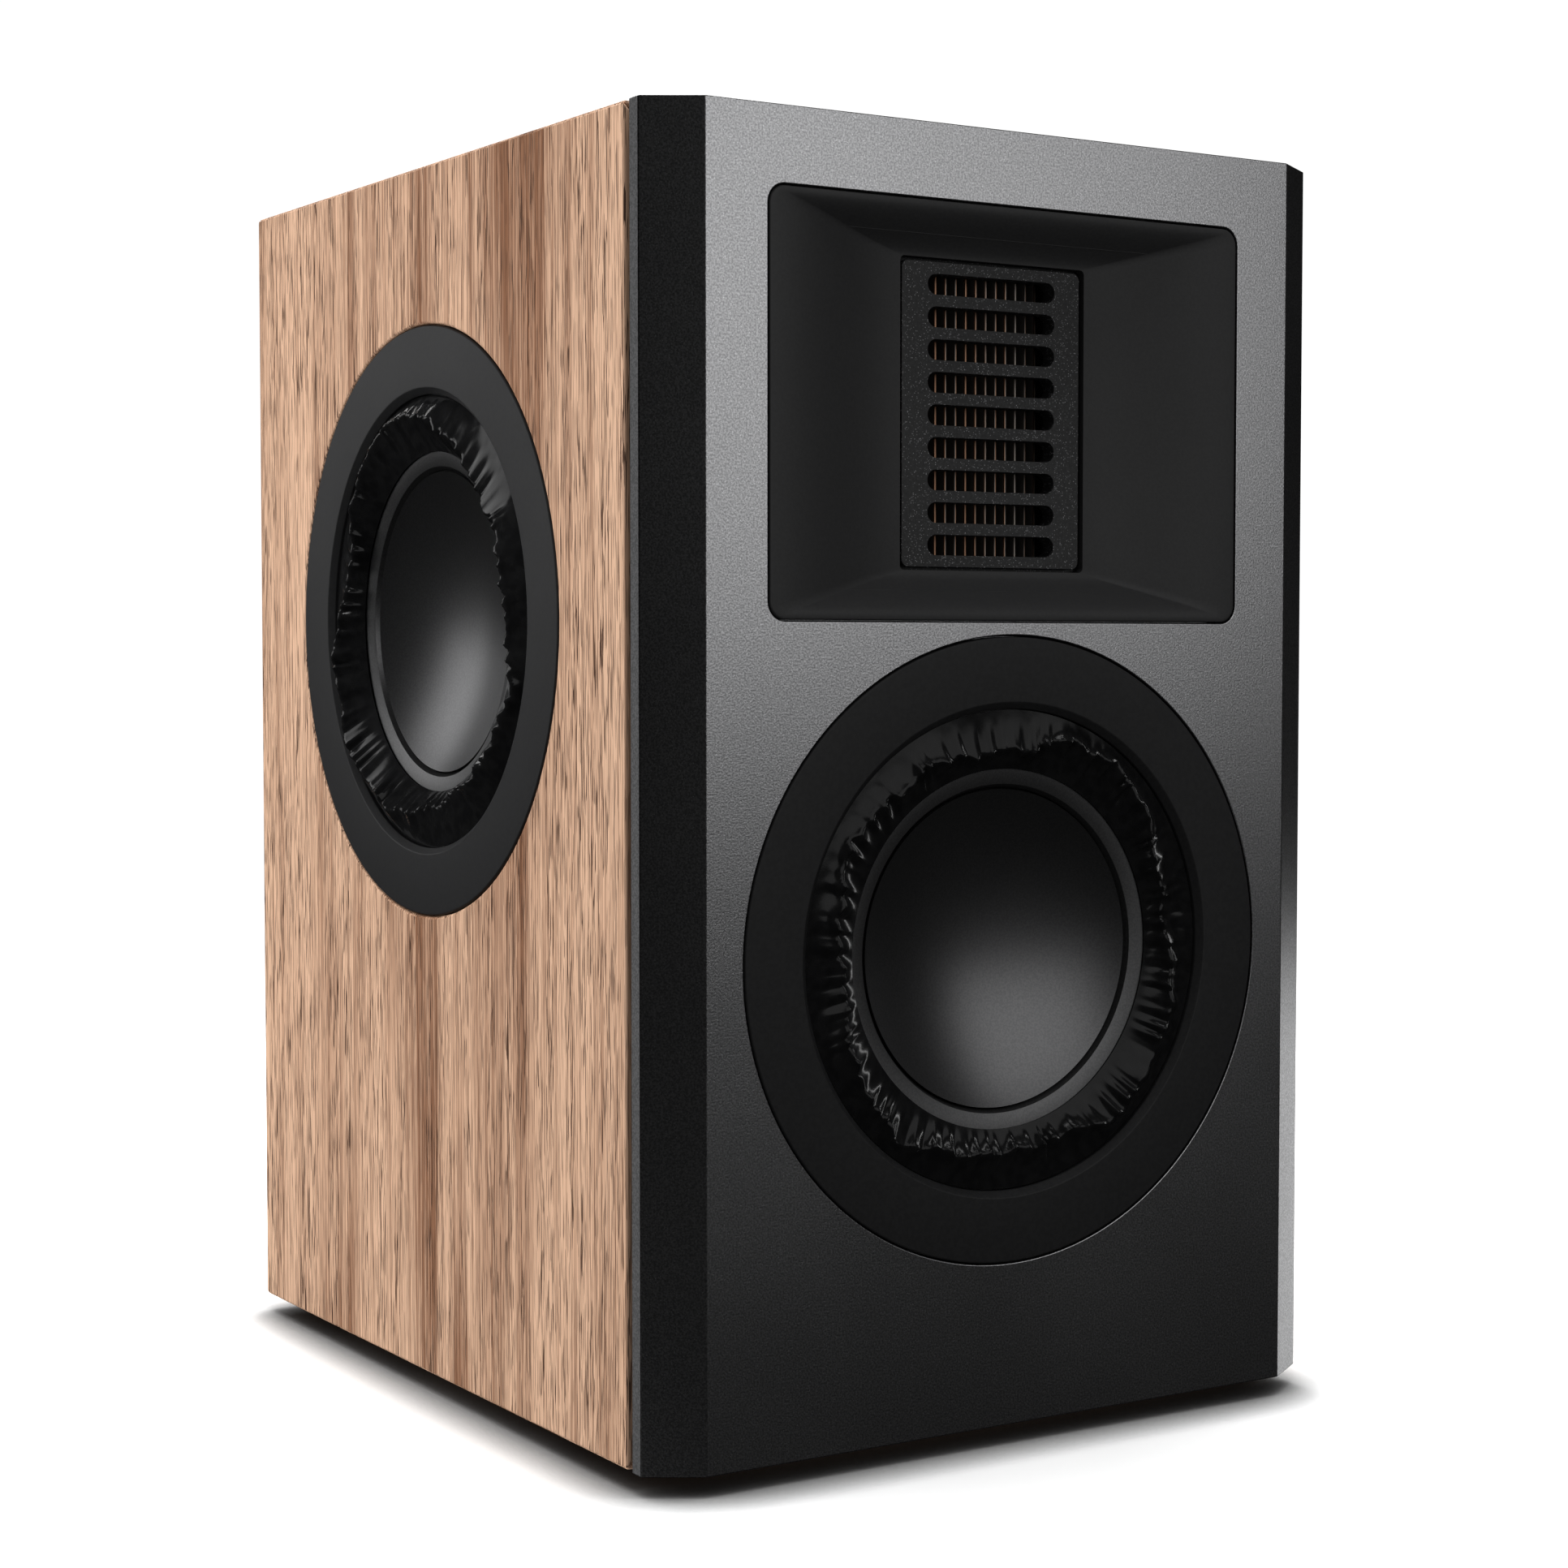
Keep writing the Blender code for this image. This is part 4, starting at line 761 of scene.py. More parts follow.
def makeSurroundTree():
    tree, given, put = newGeometryTree("pleatedSurround", socketsOf(surround))
    grid = addShape(tree, "MeshGrid", {"Size X": 1.0, "Size Y": 1.0, "Vertices X": 577, "Vertices Y": 49})
    place = addShape(tree, "InputPosition").outputs[0]
    parts = addNode(tree, "SeparateXYZ", {"Vector": place}).outputs
    turn = times(tree, plus(tree, parts["X"], 0.5), math.tau)
    run = plus(tree, parts["Y"], 0.5)

    # 0 at the outer edge and 1 at the cone, out along the face and back along the rear
    inward = minus(tree, 1.0, calc(tree, "ABSOLUTE", minus(tree, times(tree, run, 2.0), 1.0)))
    rear = between(tree, run, 0.5, 0.53, 0.0, 1.0, "LINEAR")
    rear = times(tree, rear, between(tree, run, 0.97, 1.0, 1.0, 0.0, "LINEAR"))

    # triangle wave of the crest, softened at its turns
    phase = plus(tree, times(tree, turn, given["Weaves"]), times(tree, given["Weave Start"], math.tau))
    zigzag = times(tree, calc(tree, "ARCSINE", times(tree, calc(tree, "SINE", phase), 0.97)), 2 / math.pi)
    circle = addNode(tree, "CombineXYZ", {"X": calc(tree, "COSINE", turn), "Y": calc(tree, "SINE", turn)})

    # noise read round a circle meets itself, so the ring stays closed
    def roundNoise(scale, low, high):
        noise = addNode(tree, "TexNoise", {"Vector": circle, "Scale": scale, "Detail": 2.0})
        return between(tree, noise.outputs["Fac"], 0.3, 0.7, low, high, "LINEAR")

    stray = times(tree, roundNoise(5.5, -1.0, 1.0), given["Stray"])
    folds = calc(tree, "SINE", plus(tree, times(tree, turn, given["Pleats"]), stray))
    folds = times(tree, calc(tree, "ARCSINE", times(tree, folds, 0.95)), 2 / math.pi)
    folds = times(tree, folds, roundNoise(9.0, 0.3, 1.15))
    crest = plus(tree, 0.5, times(tree, zigzag, given["Weave Reach"]))
    crest = plus(tree, crest, times(tree, folds, 0.08))
    crest = plus(tree, crest, roundNoise(4.0, -0.16, 0.16))
    crest = calc(tree, "MAXIMUM", calc(tree, "MINIMUM", crest, 0.86), 0.14)
    upSide = calc(tree, "DIVIDE", inward, crest)
    downSide = calc(tree, "DIVIDE", minus(tree, 1.0, inward), minus(tree, 1.0, crest))
    climb = calc(tree, "MINIMUM", upSide, downSide)
    square = times(tree, climb, climb)
    sharp = times(tree, square, climb)
    soft = calc(tree, "SINE", times(tree, climb, math.pi / 2))
    roll = between(tree, given["Crease"], 0.0, 1.0, soft, sharp, "LINEAR")
    swell = plus(tree, 0.86, times(tree, calc(tree, "COSINE", times(tree, phase, 2.0)), 0.14))
    rise = times(tree, times(tree, roll, swell), given["Roll Height"])

    # pleats fade out towards both edges
    ribs = between(tree, given["Crease"], 0.0, 1.0, between(tree, climb, 0.1, 0.8), square, "LINEAR")
    pleat = times(tree, times(tree, folds, ribs), given["Pleat Height"])

    slope = minus(tree, given["Inner Depth"], given["Outer Depth"])
    depth = plus(tree, given["Outer Depth"], times(tree, slope, inward))
    depth = minus(tree, minus(tree, depth, rise), pleat)
    depth = plus(tree, depth, times(tree, rear, given["Wall"]))
    span = minus(tree, given["Outer"], given["Inner"])
    radius = minus(tree, given["Outer"], times(tree, span, inward))
    sway = times(tree, times(tree, folds, times(tree, climb, climb)), 0.3 * mm)
    radius = plus(tree, radius, sway)
    parts = {
        "X": times(tree, radius, calc(tree, "COSINE", turn)),
        "Y": times(tree, radius, calc(tree, "SINE", turn)),
        "Z": depth,
    }
    spot = addNode(tree, "CombineXYZ", parts).outputs[0]
    bent = addShape(tree, "SetPosition", {"Geometry": grid, "Position": spot})
    shut = addShape(tree, "MergeByDistance", {"Geometry": bent, "Distance": 0.002 * mm})
    endTree(tree, shut, put, "glossRubber")
    return tree


surroundTree = makeSurroundTree()
stillRadius = 43.6 * mm  # the rubber lies on the basket's lip from here outwards


def makeSurround(name, seat, node, changes):
    piece = grown(name, surroundTree, {**surround, **changes}, "glossRubber", seat)
    smooth(piece, 70)
    centre = seat.translation
    inwardAxis = (seat.to_3x3() @ Vector((0, 0, 1))).normalized()
    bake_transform(piece)

    # the share of the cone's travel each point would take, from the still outer edge in to the cone and by radius
    # rather than along the axis, is worked out here but not applied
    count = len(piece.data.vertices)
    places = np.empty(count * 3, np.float32)
    piece.data.vertices.foreach_get("co", places)
    offsets = places.reshape(-1, 3) - np.array(centre, np.float32)
    depths = offsets @ np.array(inwardAxis, np.float32)
    radii = np.linalg.norm(offsets - depths[:, None] * np.array(inwardAxis, np.float32), axis=1)
    inner, outer = surround["Inner"] + 0.9 * mm, stillRadius
    share = np.clip((outer - radii) / (outer - inner), 0, 1)
    share = share * share * (3 - 2 * share)
    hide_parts(node)
    return piece


# what the taller, softer radiator surround has different
radiatorRoll = {"Roll Height": 4.6 * mm, "Pleat Height": 0.75 * mm, "Pleats": 58.0, "Crease": 0.35, "Weaves": 3.0}

makeTrimRing("wooferTrimRing", seats["woofer"], "woofer_trim_ring")
makeCone("wooferCone", seats["woofer"], "woofer_cone", "woofer_diaphragm", [(12.9, 22.5), (12.9, 24), (33.5, 8.1)])
makeDish("wooferDish", seats["woofer"], "woofer_dish", "woofer_diaphragm")
makeSurround("wooferSurround", seats["woofer"], "woofer_surround", {})
for hand in ("left", "right"):
    seat, node, body = seats[f"{hand}Radiator"], f"{hand}_radiator", f"{hand}_radiator_diaphragm"
    makeTrimRing(f"{hand}RadiatorTrimRing", seat, f"{node}_trim_ring")
    tail = [(16, 15.2), (2.5, 16.6), (2.5, 18.2), (16, 18.2), (33.5, 8.4)]
    makeCone(f"{hand}RadiatorCone", seat, f"{node}_cone", body, tail)
    makeDish(f"{hand}RadiatorDish", seat, f"{node}_dish", body)
    makeSurround(f"{hand}RadiatorSurround", seat, f"{node}_surround", radiatorRoll)
print("drivers made")


# tweeter horn
horn = {
    "size": (113.4, 80.8), "corner": 3.4, "land": 0.9, "rim": 4.0,
    "body": (98.0, 69.0), "depth": 9.4, "throat": (45.0, 61.0), "throatDepth": 7.0, "throatCorner": 1.0,
}


def makeHorn():
    width, height = horn["size"]
    land = horn["land"]
    loops = []

    def add(size, corner, depth):
        loops.append(roundRect(size[0] * mm, size[1] * mm, corner * mm, depth * mm))

    edge = 0.3
    for step in range(5):
        angle = math.pi / 2 * step / 4
        shrink = edge * (1 - math.sin(angle))
        add((width - 2 * shrink, height - 2 * shrink), horn["corner"], edge * (1 - math.cos(angle)))
    add((width, height), horn["corner"], horn["rim"])
    add(horn["body"], horn["corner"], horn["rim"])
    add(horn["body"], horn["corner"], horn["depth"])
    add(horn["throat"], horn["throatCorner"], horn["depth"])
    add(horn["throat"], horn["throatCorner"], horn["throatDepth"] + 0.25)
    rings = 26
    for ring in range(rings + 1):
        share = 1 - ring / rings
        depth = horn["throatDepth"] * (0.12 * share + 0.88 * (1 - math.cos(math.pi * share)) / 2)
        mouth = (width - 2 * land, height - 2 * land)
        size = [outer + (inner - outer) * share for outer, inner in zip(mouth, horn["throat"])]
        corner = horn["corner"] - land + (horn["throatCorner"] - horn["corner"] + land) * share**0.5
        add(size, corner, depth)
    piece = lofted("waveguide", loops, "guideBlack", seats["tweeter"], angle=38)
    return standFor(piece, "cabinet", "satin_black", "waveguide")


# plate with nine slots across it
slots = {"Count": 9, "Pitch": 6.37 * mm, "Width": 31 * mm, "Height": 4 * mm, "Start": 6.6 * mm, "Deep": 8 * mm}


def makeSlotTree():
    tree, given, put = newGeometryTree("slottedPlate", socketsOf(slots))
    frameCurve = addShape(tree, "CurvePrimitiveQuadrilateral", {"Width": given["Width"], "Height": given["Height"]})
    cornerSize = times(tree, given["Height"], 0.499)
    fillet = addShape(tree, "FilletCurve", {"Curve": frameCurve})
    fillet.mode = "POLY"
    fillet.inputs["Count"].default_value = 8
    tree.links.new(cornerSize, fillet.inputs["Radius"])
    fillet.inputs["Limit Radius"].default_value = True
    face = addShape(tree, "FillCurve", {"Curve": fillet})
    face.mode = "NGONS"
    drawn = addShape(tree, "ExtrudeMesh", {"Mesh": face, "Offset Scale": given["Deep"]})
    bottom = addShape(tree, "FlipFaces", {"Mesh": face})
    both = joined(tree, bottom, drawn)
    cutter = addShape(tree, "MergeByDistance", {"Geometry": both, "Distance": 0.001 * mm})
    reach = times(tree, minus(tree, given["Count"], 1.0), times(tree, given["Pitch"], -0.5))
    first = addNode(tree, "CombineXYZ", {"Y": reach, "Z": given["Start"]})
    stride = addNode(tree, "CombineXYZ", {"Y": given["Pitch"]})
    row = addShape(tree, "MeshLine", {"Count": given["Count"], "Start Location": first, "Offset": stride})
    copies = addShape(tree, "InstanceOnPoints", {"Points": row, "Instance": cutter})
    solid = addShape(tree, "RealizeInstances", {"Geometry": copies})
    endTree(tree, carved(tree, given["Geometry"], solid), put, "powderBlack")
    return tree


def makeSlotPlate():
    land, start = (43.4, 59.6), 7.6
    loops = [roundRect(*(side * mm for side in size), corner * mm, depth * mm, 6) for size, corner, depth in (
        (land, 1.5, start), (land, 1.5, 9.7), ((66, 68), 1.5, 9.7), ((66, 68), 1.5, 11.2))]
    blank = lofted("slotBlank", loops, "powderBlack", None, capped=True)
    blankMesh = takeMesh(blank)
    plate = grown("slotPlate", makeSlotTree(), slots, "powderBlack", seats["tweeter"], blankMesh)
    bevel(plate, 0.28 * mm, 3)
    return standFor(plate, "cabinet", "speckled_black", "tweeter_slot_plate")


# folded film: narrow crests towards the slots, deep valleys between
film = {
    "Pleats": 13, "Pitch": 2.46 * mm, "Crest": 13.1 * mm, "Fold Depth": 4.6 * mm, "Height": 57.4 * mm,
    "Wall": 0.12 * mm}


def makeFilmTree():
    tree, given, put = newGeometryTree("foldedFilm", socketsOf(film))
    width = times(tree, given["Pleats"], given["Pitch"])
    across = plus(tree, times(tree, given["Pleats"], 28.0), 1.0)
    sheet = {"Size X": width, "Size Y": given["Height"], "Vertices X": across, "Vertices Y": 2}
    grid = addShape(tree, "MeshGrid", sheet)
    place = addShape(tree, "InputPosition").outputs[0]
    parts = addNode(tree, "SeparateXYZ", {"Vector": place}).outputs
    away = calc(tree, "PINGPONG", calc(tree, "DIVIDE", parts["X"], given["Pitch"]), 0.5)
    depth = times(tree, between(tree, away, 0.07, 0.24), given["Fold Depth"])
    depth = plus(tree, depth, given["Crest"])
    spot = addNode(tree, "CombineXYZ", {"X": parts["X"], "Y": parts["Y"], "Z": depth})
    folded = addShape(tree, "SetPosition", {"Geometry": grid, "Position": spot})
    back = addNode(tree, "CombineXYZ", {"Z": given["Wall"]})
    drawn = addShape(tree, "ExtrudeMesh", {"Mesh": folded, "Offset": back, "Individual": False})
    flipped = addShape(tree, "FlipFaces", {"Mesh": folded})
    both = joined(tree, flipped, drawn)
    shut = addShape(tree, "MergeByDistance", {"Geometry": both, "Distance": 0.001 * mm})
    endTree(tree, shut, put, "foilFilm")
    return tree


materials["foilFilm"] = makeFilm("foilFilm", seats["tweeter"].translation.y + film["Crest"], film["Pitch"])
makeHorn()
makeSlotPlate()
pleatedFilm = grown("pleatedFilm", makeFilmTree(), film, "foilFilm", seats["tweeter"])
standFor(pleatedFilm, "cabinet", "pleated_film", "tweeter_diaphragm")
print("tweeter made")


# back: panel, terminal cup, posts and screws
cup = {
    "flange": (70, 54), "thick": 2.7, "mouth": (58, 42), "floor": (52, 36), "depth": 18.0, "wall": 2.5,
    "corner": 6.0}
post = {
    "boreRadius": 2.0, "studRadius": 2.8, "collarRadius": 6.5,
    "knobRadius": 6.6, "knobLength": 13.0, "clampEnd": 13.9, "ribs": 18,
}


def makeRearPanel():
    low, high = (Vector(corner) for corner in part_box("rear_panel"))
    outline = [(low.x, low.y, low.z), (high.x, low.y, low.z), (high.x, low.y, high.z), (low.x, low.y, high.z)]
    panel = prism("rearPanel", outline, (0, high.y - low.y, 0), "rearPaint")
    loops = [roundRect(width * mm, height * mm, corner * mm, depth * mm) for width, height, corner, depth in (
        (70.6, 54.6, 6.3, -12), (70.6, 54.6, 6.3, 3.0), (64, 48, 6, 3.0), (64, 48, 6, 24))]
    cutOut(panel, [lofted("cupHole", loops, "satinBlack", seats["cup"], capped=True)])
    bevel(panel, 0.5 * mm, 2)
    return standFor(panel, "cabinet", "satin_black", "rear_panel")


def makeCup():
    loops = []

    def add(size, grow, corner, depth):
        loops.append(roundRect((size[0] + 2 * grow) * mm, (size[1] + 2 * grow) * mm, corner * mm, depth * mm))

    depth, wall = cup["depth"], cup["wall"]
    for step in range(6):
        angle = math.pi / 2 * step / 5
        add(cup["floor"], -1.6 * (1 - math.sin(angle)), 3.0, depth - 1.6 * (1 - math.cos(angle)))
    for step in range(6):
        angle = math.pi / 2 * step / 5
        add(cup["mouth"], 1.0 * (1 - math.cos(angle)) - 0.1, 3.6, 1.0 * (1 - math.sin(angle)))
    for step in range(6):
        angle = math.pi / 2 * step / 5
        add(cup["flange"], -0.9 * (1 - math.sin(angle)), cup["corner"], 0.9 * (1 - math.cos(angle)))
    add(cup["flange"], 0, cup["corner"], cup["thick"])
    add(cup["mouth"], wall, cup["corner"], cup["thick"])
    add(cup["floor"], wall, cup["corner"], depth + wall)
    piece = lofted("terminalCup", loops, "cupPlastic", seats["cup"], capped=True)
    holes = []
    for hand in ("positive", "negative"):
        hole = [(0, depth - 1), (3.4, depth - 1), (3.4, depth + 6), (0, depth + 6)]
        holes.append(turned("postHole", scaled(hole), "satinBlack", postSeat(hand), 48))
    cutOut(piece, holes)
    return standFor(smooth(piece), "cabinet", "satin_black", "terminal_cup")


def postSeat(hand):
    spot = middle(f"{hand}_post_stud")
    spot.y = seats["cup"].translation.y
    return Matrix.Translation(spot) @ Euler((math.radians(90), 0, 0)).to_matrix().to_4x4()


def makePostTree():
    tree, given, put = newGeometryTree("ribbedKnob", [
        ("Ribs", "NodeSocketInt", 18), ("Reach", number, 6.6 * mm), ("Rib Radius", number, 0.5 * mm),
        ("Rib Length", number, 9 * mm), ("Middle", number, 7 * mm)])
    ring = addShape(tree, "MeshCircle", {"Vertices": given["Ribs"], "Radius": given["Reach"]})
    rib = addShape(tree, "MeshCylinder", {
        "Vertices": 12, "Radius": given["Rib Radius"], "Depth": given["Rib Length"], "Side Segments": 1})
    placed = addShape(tree, "InstanceOnPoints", {"Points": ring, "Instance": rib})
    lift = addNode(tree, "CombineXYZ", {"Z": given["Middle"]})
    moved = addShape(tree, "Transform", {"Geometry": placed, "Translation": lift})
    return tree, joined(tree, moved.outputs[0], given["Geometry"]), put


def makeKnob(hand, material, slotName):
    # a cap with a dished end, a bore for the stud, and ribs round its grip
    end, length = post["clampEnd"], post["knobLength"]
    start = end - length
    corners = [(3.2, start + 0.7), (5.0, start), (post["knobRadius"], start), (post["knobRadius"], end - 2.2),
               (5.9, end - 1.8), (5.9, end), (3.2, end)]
    outline = rounded(corners, [0.2, 0.5, 1.2, 0.3, 0.3, 0.3, 0.1], 4)
    blank = turned("knobBlank", scaled(outline), material, None, 96)
    blankMesh = takeMesh(blank)
    tree, geometry, put = makePostTree()
    endTree(tree, geometry, put, material)
    values = {"Ribs": post["ribs"], "Reach": (post["knobRadius"] - 0.12) * mm, "Rib Radius": 0.5 * mm,
              "Rib Length": 8.4 * mm, "Middle": (start + 5.8) * mm}
    piece = grown(f"{hand}Knob", tree, values, material, postSeat(hand), blankMesh)
    return standFor(piece, f"{hand}_knob", slotName, f"{hand}_post_knob")


def makeStud(hand):
    bore, stud, collar = post["boreRadius"], post["studRadius"], post["collarRadius"]
    corners = [
        (0, 13.7), (bore, 13.7), (bore, 1.5), (stud, 1.5), (stud, 15.7),
        (collar, 15.7), (collar, 17.7), (stud, 17.7), (stud, 27), (0, 27),
    ]
    outline = rounded(corners, [0, 0, 0.3, 0.25, 0.1, 0.4, 0.2, 0, 0.4, 0], 3)
    stud = turned(f"{hand}Stud", scaled(outline), "goldPlate", postSeat(hand), 72)
    return standFor(stud, "cabinet", "brass", f"{hand}_post_stud")


def makeWasher(hand):
    collar = post["collarRadius"]
    corners = [(3.3, 14.2), (collar, 14.2), (collar, 15.4), (3.3, 15.4)]
    outline = rounded(corners, [0.2, 0.35, 0.35, 0.2], 3)
    washer = turned(f"{hand}Washer", scaled(outline), "goldPlate", postSeat(hand), 72)
    return standFor(washer, f"{hand}_clamp", "brass", f"{hand}_clamp_washer")


# button-head screws with a hexagon socket
screws = {"Head Radius": 2.7 * mm, "Crown Radius": 1.9 * mm, "Head Height": 1.0 * mm, "Socket Radius": 1.25 * mm}


def makeScrewTree():
    tree, given, put = newGeometryTree("screwRow", socketsOf(screws))
    head = addShape(tree, "MeshCone", {
        "Vertices": 32, "Side Segments": 4, "Radius Top": given["Crown Radius"],
        "Radius Bottom": given["Head Radius"], "Depth": given["Head Height"]})
    hexagon = {"Vertices": 6, "Radius": given["Socket Radius"], "Depth": given["Head Height"]}
    socket = addShape(tree, "MeshCylinder", hexagon)
    lift = addNode(tree, "CombineXYZ", {"Z": times(tree, given["Head Height"], 0.9)})
    raised = addShape(tree, "Transform", {"Geometry": socket, "Translation": lift})
    screw = carved(tree, head, raised)
    placed = addShape(tree, "InstanceOnPoints", {"Points": given["Geometry"], "Instance": screw})
    turn = addNode(tree, "FunctionNodeRandomValue", data_type="FLOAT")
    turn.inputs["Max"].default_value = math.tau
    turn.inputs["Seed"].default_value = 4
    spin = addNode(tree, "CombineXYZ", {"Z": turn.outputs[1]})
    tree.links.new(spin.outputs[0], placed.inputs["Rotation"])
    endTree(tree, placed, put, "screwBlack")
    return tree


def makeScrews(name, tree, spots, values):
    # spots are given on the back face, as X and Z in metres from the cup's seat
    points = newMesh(name, [(x, z, 0) for x, z in spots], [])
    face = seats["cup"] @ Matrix.Rotation(math.pi, 4, "X")
    piece = grown(name, tree, {**screws, **values}, "screwBlack", face, points)
    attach(piece, "cabinet")
    return piece


makeRearPanel()
makeCup()
for hand, material, slotName in (("positive", "redPlastic", "red_plastic"), ("negative", "knobBlack", "satin_black")):
    makeKnob(hand, material, slotName)
    makeStud(hand)
    makeWasher(hand)
screwTree = makeScrewTree()
cupSpots = [(x * mm, -z * mm) for x in (-31.6, 31.6) for z in (-23.6, 23.6)]
smallHead = {
    "Head Radius": 1.9 * mm, "Crown Radius": 1.3 * mm, "Head Height": 0.8 * mm, "Socket Radius": 0.85 * mm}
makeScrews("cupScrews", screwTree, cupSpots, smallHead)
panelLow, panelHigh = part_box("rear_panel")
cupHeight = seats["cup"].translation.z
panelSpots = [(side * (panelHigh[0] - 7 * mm), -(height - cupHeight)) for side in (-1, 1)
              for height in (panelLow[2] + 7 * mm, (panelLow[2] + panelHigh[2]) / 2, panelHigh[2] - 7 * mm)]
makeScrews("panelScrews", screwTree, panelSpots, {})
print("back made")


# the pieces inside keep their shape and get their finish
insideFinishes = {
    "footRubber": ["baffle_seal"],
    "fibreboard": ["window_brace"],
    "openFoam": ["damping_foam", "woofer_gasket", "tweeter_gasket"],
    "castPaint": ["woofer_basket", "left_radiator_frame", "right_radiator_frame"],
    "spiderCloth": ["woofer_spider"],
    "zincPlate": ["woofer_top_plate", "woofer_yoke", "left_radiator_weight", "right_radiator_weight",
                  "tweeter_magnet_left", "tweeter_magnet_right", "tweeter_rear_plate"],
    "ferriteGrey": ["woofer_magnet"],
    "formerFilm": ["woofer_coil_former"],
    "copperWinding": ["woofer_voice_coil", "woofer_inductor"],
    "satinBlack": ["diaphragm_frame", "tweeter_rear_chamber"],
    "solderMask": ["crossover_board"],
    "redPlastic": ["tweeter_capacitor", "woofer_capacitor"],
    "ceramicBody": ["tweeter_resistor"],
    "leadRubber": ["woofer_lead", "tweeter_lead"],
}
for material, nodes in insideFinishes.items():
    for node in nodes:
        piece = frame["nodes"][node]
        for place in piece.material_slots:
            place.material = materials[material]
print("inside finished")


# floor with a painted shadow under the cabinet, sky and studio lights
stage = {
    "half": 8.0, "fade": (0.35, 0.9), "paintedShadowReach": 0.014, "glow": 0.30, "skyForCamera": 1.05,
    "skyForLight": 0.30, "skyForShine": 0.006}


def makeStage():
    corners = [(-1, -1), (1, -1), (1, 1), (-1, 1)]
    mesh = newMesh("floor", [(x * stage["half"], y * stage["half"], 0) for x, y in corners], [(0, 1, 2, 3)])
    material, tree, shader = emptyMaterial("floorPaper")
    grain = addNode(tree, "Group", {"Scale": 60.0}, node_tree=grainGroup)
    base = blendColours(tree, grain.outputs["Grain"], (0.88, 0.88, 0.88), (0.92, 0.92, 0.92))
    # painted shadow: the floor colour darkens to black where ambient occlusion finds the cabinet close by, and the
    # glow below is darkened with it
    corner = addNode(tree, "AmbientOcclusion", {"Distance": stage["paintedShadowReach"]}, samples=6)
    shade = calc(tree, "POWER", corner.outputs["AO"], 3.0)
    base = blendColours(tree, shade, (0.0, 0.0, 0.0), base)
    feed(tree, shader, {"Base Color": base, "Emission Color": base, "Emission Strength": stage["glow"]})
    feed(tree, shader, {"Roughness": 0.9})

    # the sheet thins out into the white backdrop
    spot = ownPlace(tree)
    reach = addNode(tree, "VectorMath", {0: spot}, operation="LENGTH").outputs["Value"]
    far = between(tree, reach, *stage["fade"])
    clear = addNode(tree, "BsdfTransparent")
    edge = addNode(tree, "MixShader", {0: far, 1: shader, 2: clear})
    tree.links.new(edge.outputs[0], tree.nodes["Material Output"].inputs["Surface"])
    mesh.materials.append(material)
    floor = bpy.data.objects.new("floor", mesh)
    scene.collection.objects.link(floor)
    floor.visible_glossy = False
    floor.visible_diffuse = False
    floor.visible_shadow = False

    world = bpy.data.worlds.new("studio")
    world.use_nodes = True
    scene.world = world
    tree = world.node_tree
    white = (1, 1, 1, 1)
    dim = feed(tree, tree.nodes["Background"], {"Color": white, "Strength": stage["skyForLight"]})
    bright = addNode(tree, "Background", {"Color": white, "Strength": stage["skyForCamera"]})
    path = addNode(tree, "LightPath")
    dark = addNode(tree, "Background", {"Color": white, "Strength": stage["skyForShine"]})
    shine = addNode(tree, "MixShader", {0: path.outputs["Is Glossy Ray"], 1: dim, 2: dark})
    pick = addNode(tree, "MixShader", {0: path.outputs["Is Camera Ray"], 1: shine, 2: bright})
    tree.links.new(pick.outputs[0], tree.nodes["World Output"].inputs["Surface"])


# each lamp: bearing from the front to the right, height angle, distance, size and power
lamps = {
    "frontPanel": (15.5, 21, 1.0, (0.97, 0.76), 2.1),
    "leftSide": (-122, 5, 1.2, (0.9, 0.9), 14.8),
    "rightSide": (118, 10, 1.2, (0.9, 0.9), 9.0),
    "overhead": (180, 84, 1.4, (1.4, 1.4), 34),
    "backFill": (165, 35, 1.6, (1.0, 1.0), 14),
}
unmirrored = ("leftSide", "rightSide", "overhead")  # these don't show in shiny faces

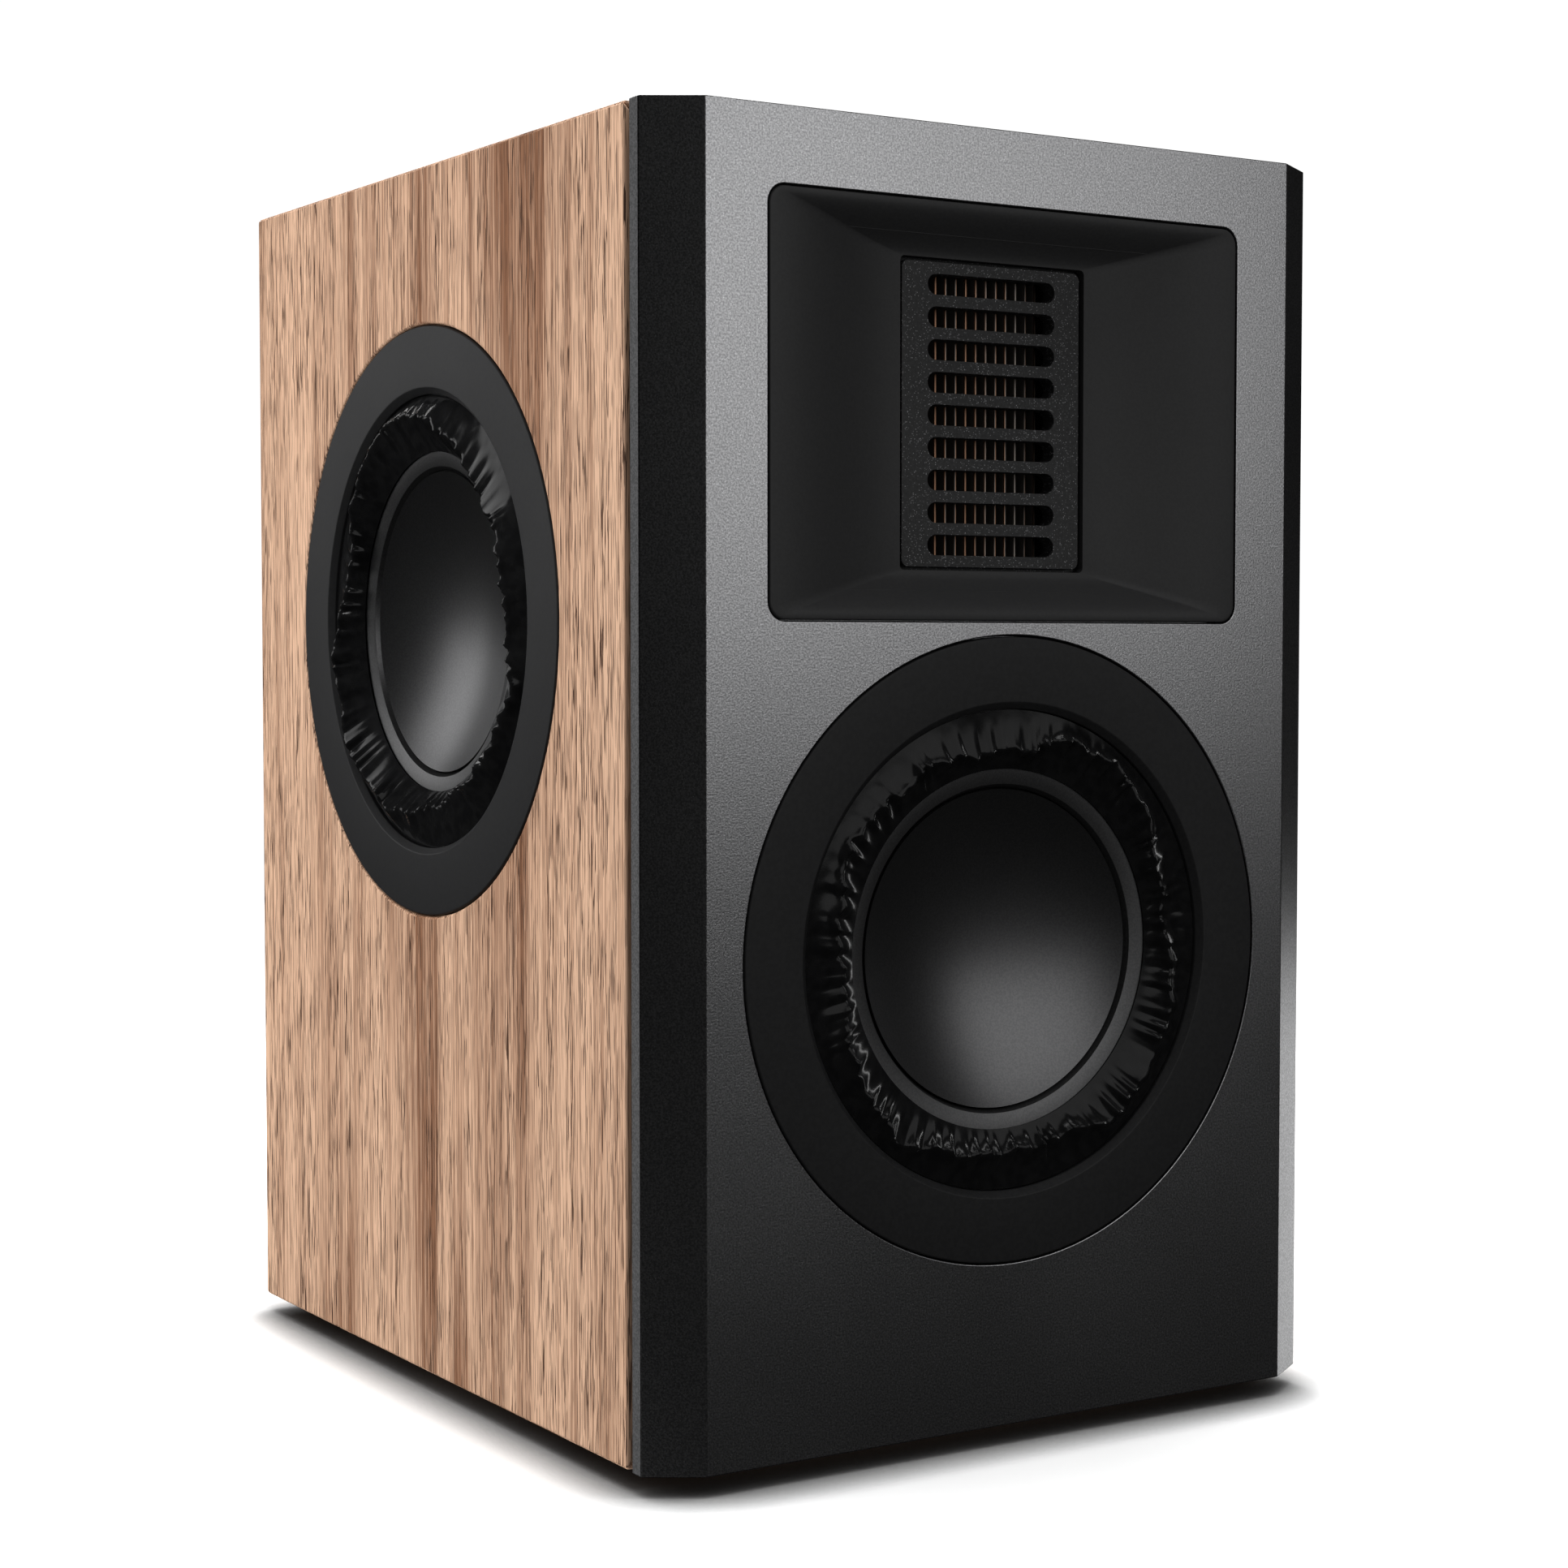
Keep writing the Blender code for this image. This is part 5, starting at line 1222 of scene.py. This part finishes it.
# lamps that light only some pieces, by how those pieces' names start
lampsOnto = {}
for hand, side in (("left", -1), ("right", 1)):
    lampsOnto[f"{hand}Glow"] = (side * 142, 17, 1.0, (0.5, 0.42), 1.1), f"{hand}Radiator"
    lampsOnto[f"{hand}FrontGlow"] = (side * 46, 18, 1.0, (0.5, 0.42), 0.8), f"{hand}Radiator"
    lampsOnto[f"{hand}Glint"] = (side * 75, 48, 1.0, (0.1, 0.1), 0.9), f"{hand}RadiatorSurround"
lampsOnto.update({
    "edgeGlow": ((-142, 0, 1.0, (0.5, 1.0), 0.37), "frontBaffle"),
    "leftLow": ((-58, -36, 1.0, (0.6, 0.4), 0.1), "frontBaffle"),
    "rightLow": ((104, -16, 0.9, (0.3, 0.24), 0.3), "frontBaffle"),
    "topStrip": ((20, 62, 1.0, (0.8, 0.05), 1.0), "wooferSurround"),
    "rightStrip": ((78, 8, 1.0, (0.05, 0.7), 0.9), "wooferSurround"),
    "leftStrip": ((-66, 8, 1.0, (0.05, 0.7), 0.9), "wooferSurround"),
})


def makeLamp(name, values, onto=None):
    bearing, climb, distance, size, power = values
    bearing, climb = math.radians(bearing), math.radians(climb)
    ray = Vector((math.sin(bearing) * math.cos(climb), -math.cos(bearing) * math.cos(climb), math.sin(climb)))
    data = bpy.data.lights.new(name, "AREA")
    data.shape = "RECTANGLE"
    data.size, data.size_y = size
    data.energy = power
    lamp = bpy.data.objects.new(name, data)
    lamp.location = (Vector(cadLow) + Vector(cadHigh)) / 2 + ray * distance
    lamp.rotation_mode = "QUATERNION"
    lamp.rotation_quaternion = ray.to_track_quat("Z", "Y")
    lamp.visible_camera = False
    lamp.visible_glossy = name not in unmirrored
    scene.collection.objects.link(lamp)
    if onto:
        lit = bpy.data.collections.new(name)
        for piece in scene.objects:
            if piece.name.startswith(onto):
                lit.objects.link(piece)
        lamp.light_linking.receiver_collection = lit


makeStage()
for name, values in lamps.items():
    makeLamp(name, values)
for name, (values, onto) in lampsOnto.items():
    makeLamp(name, values, onto)
print("stage and lamps made")
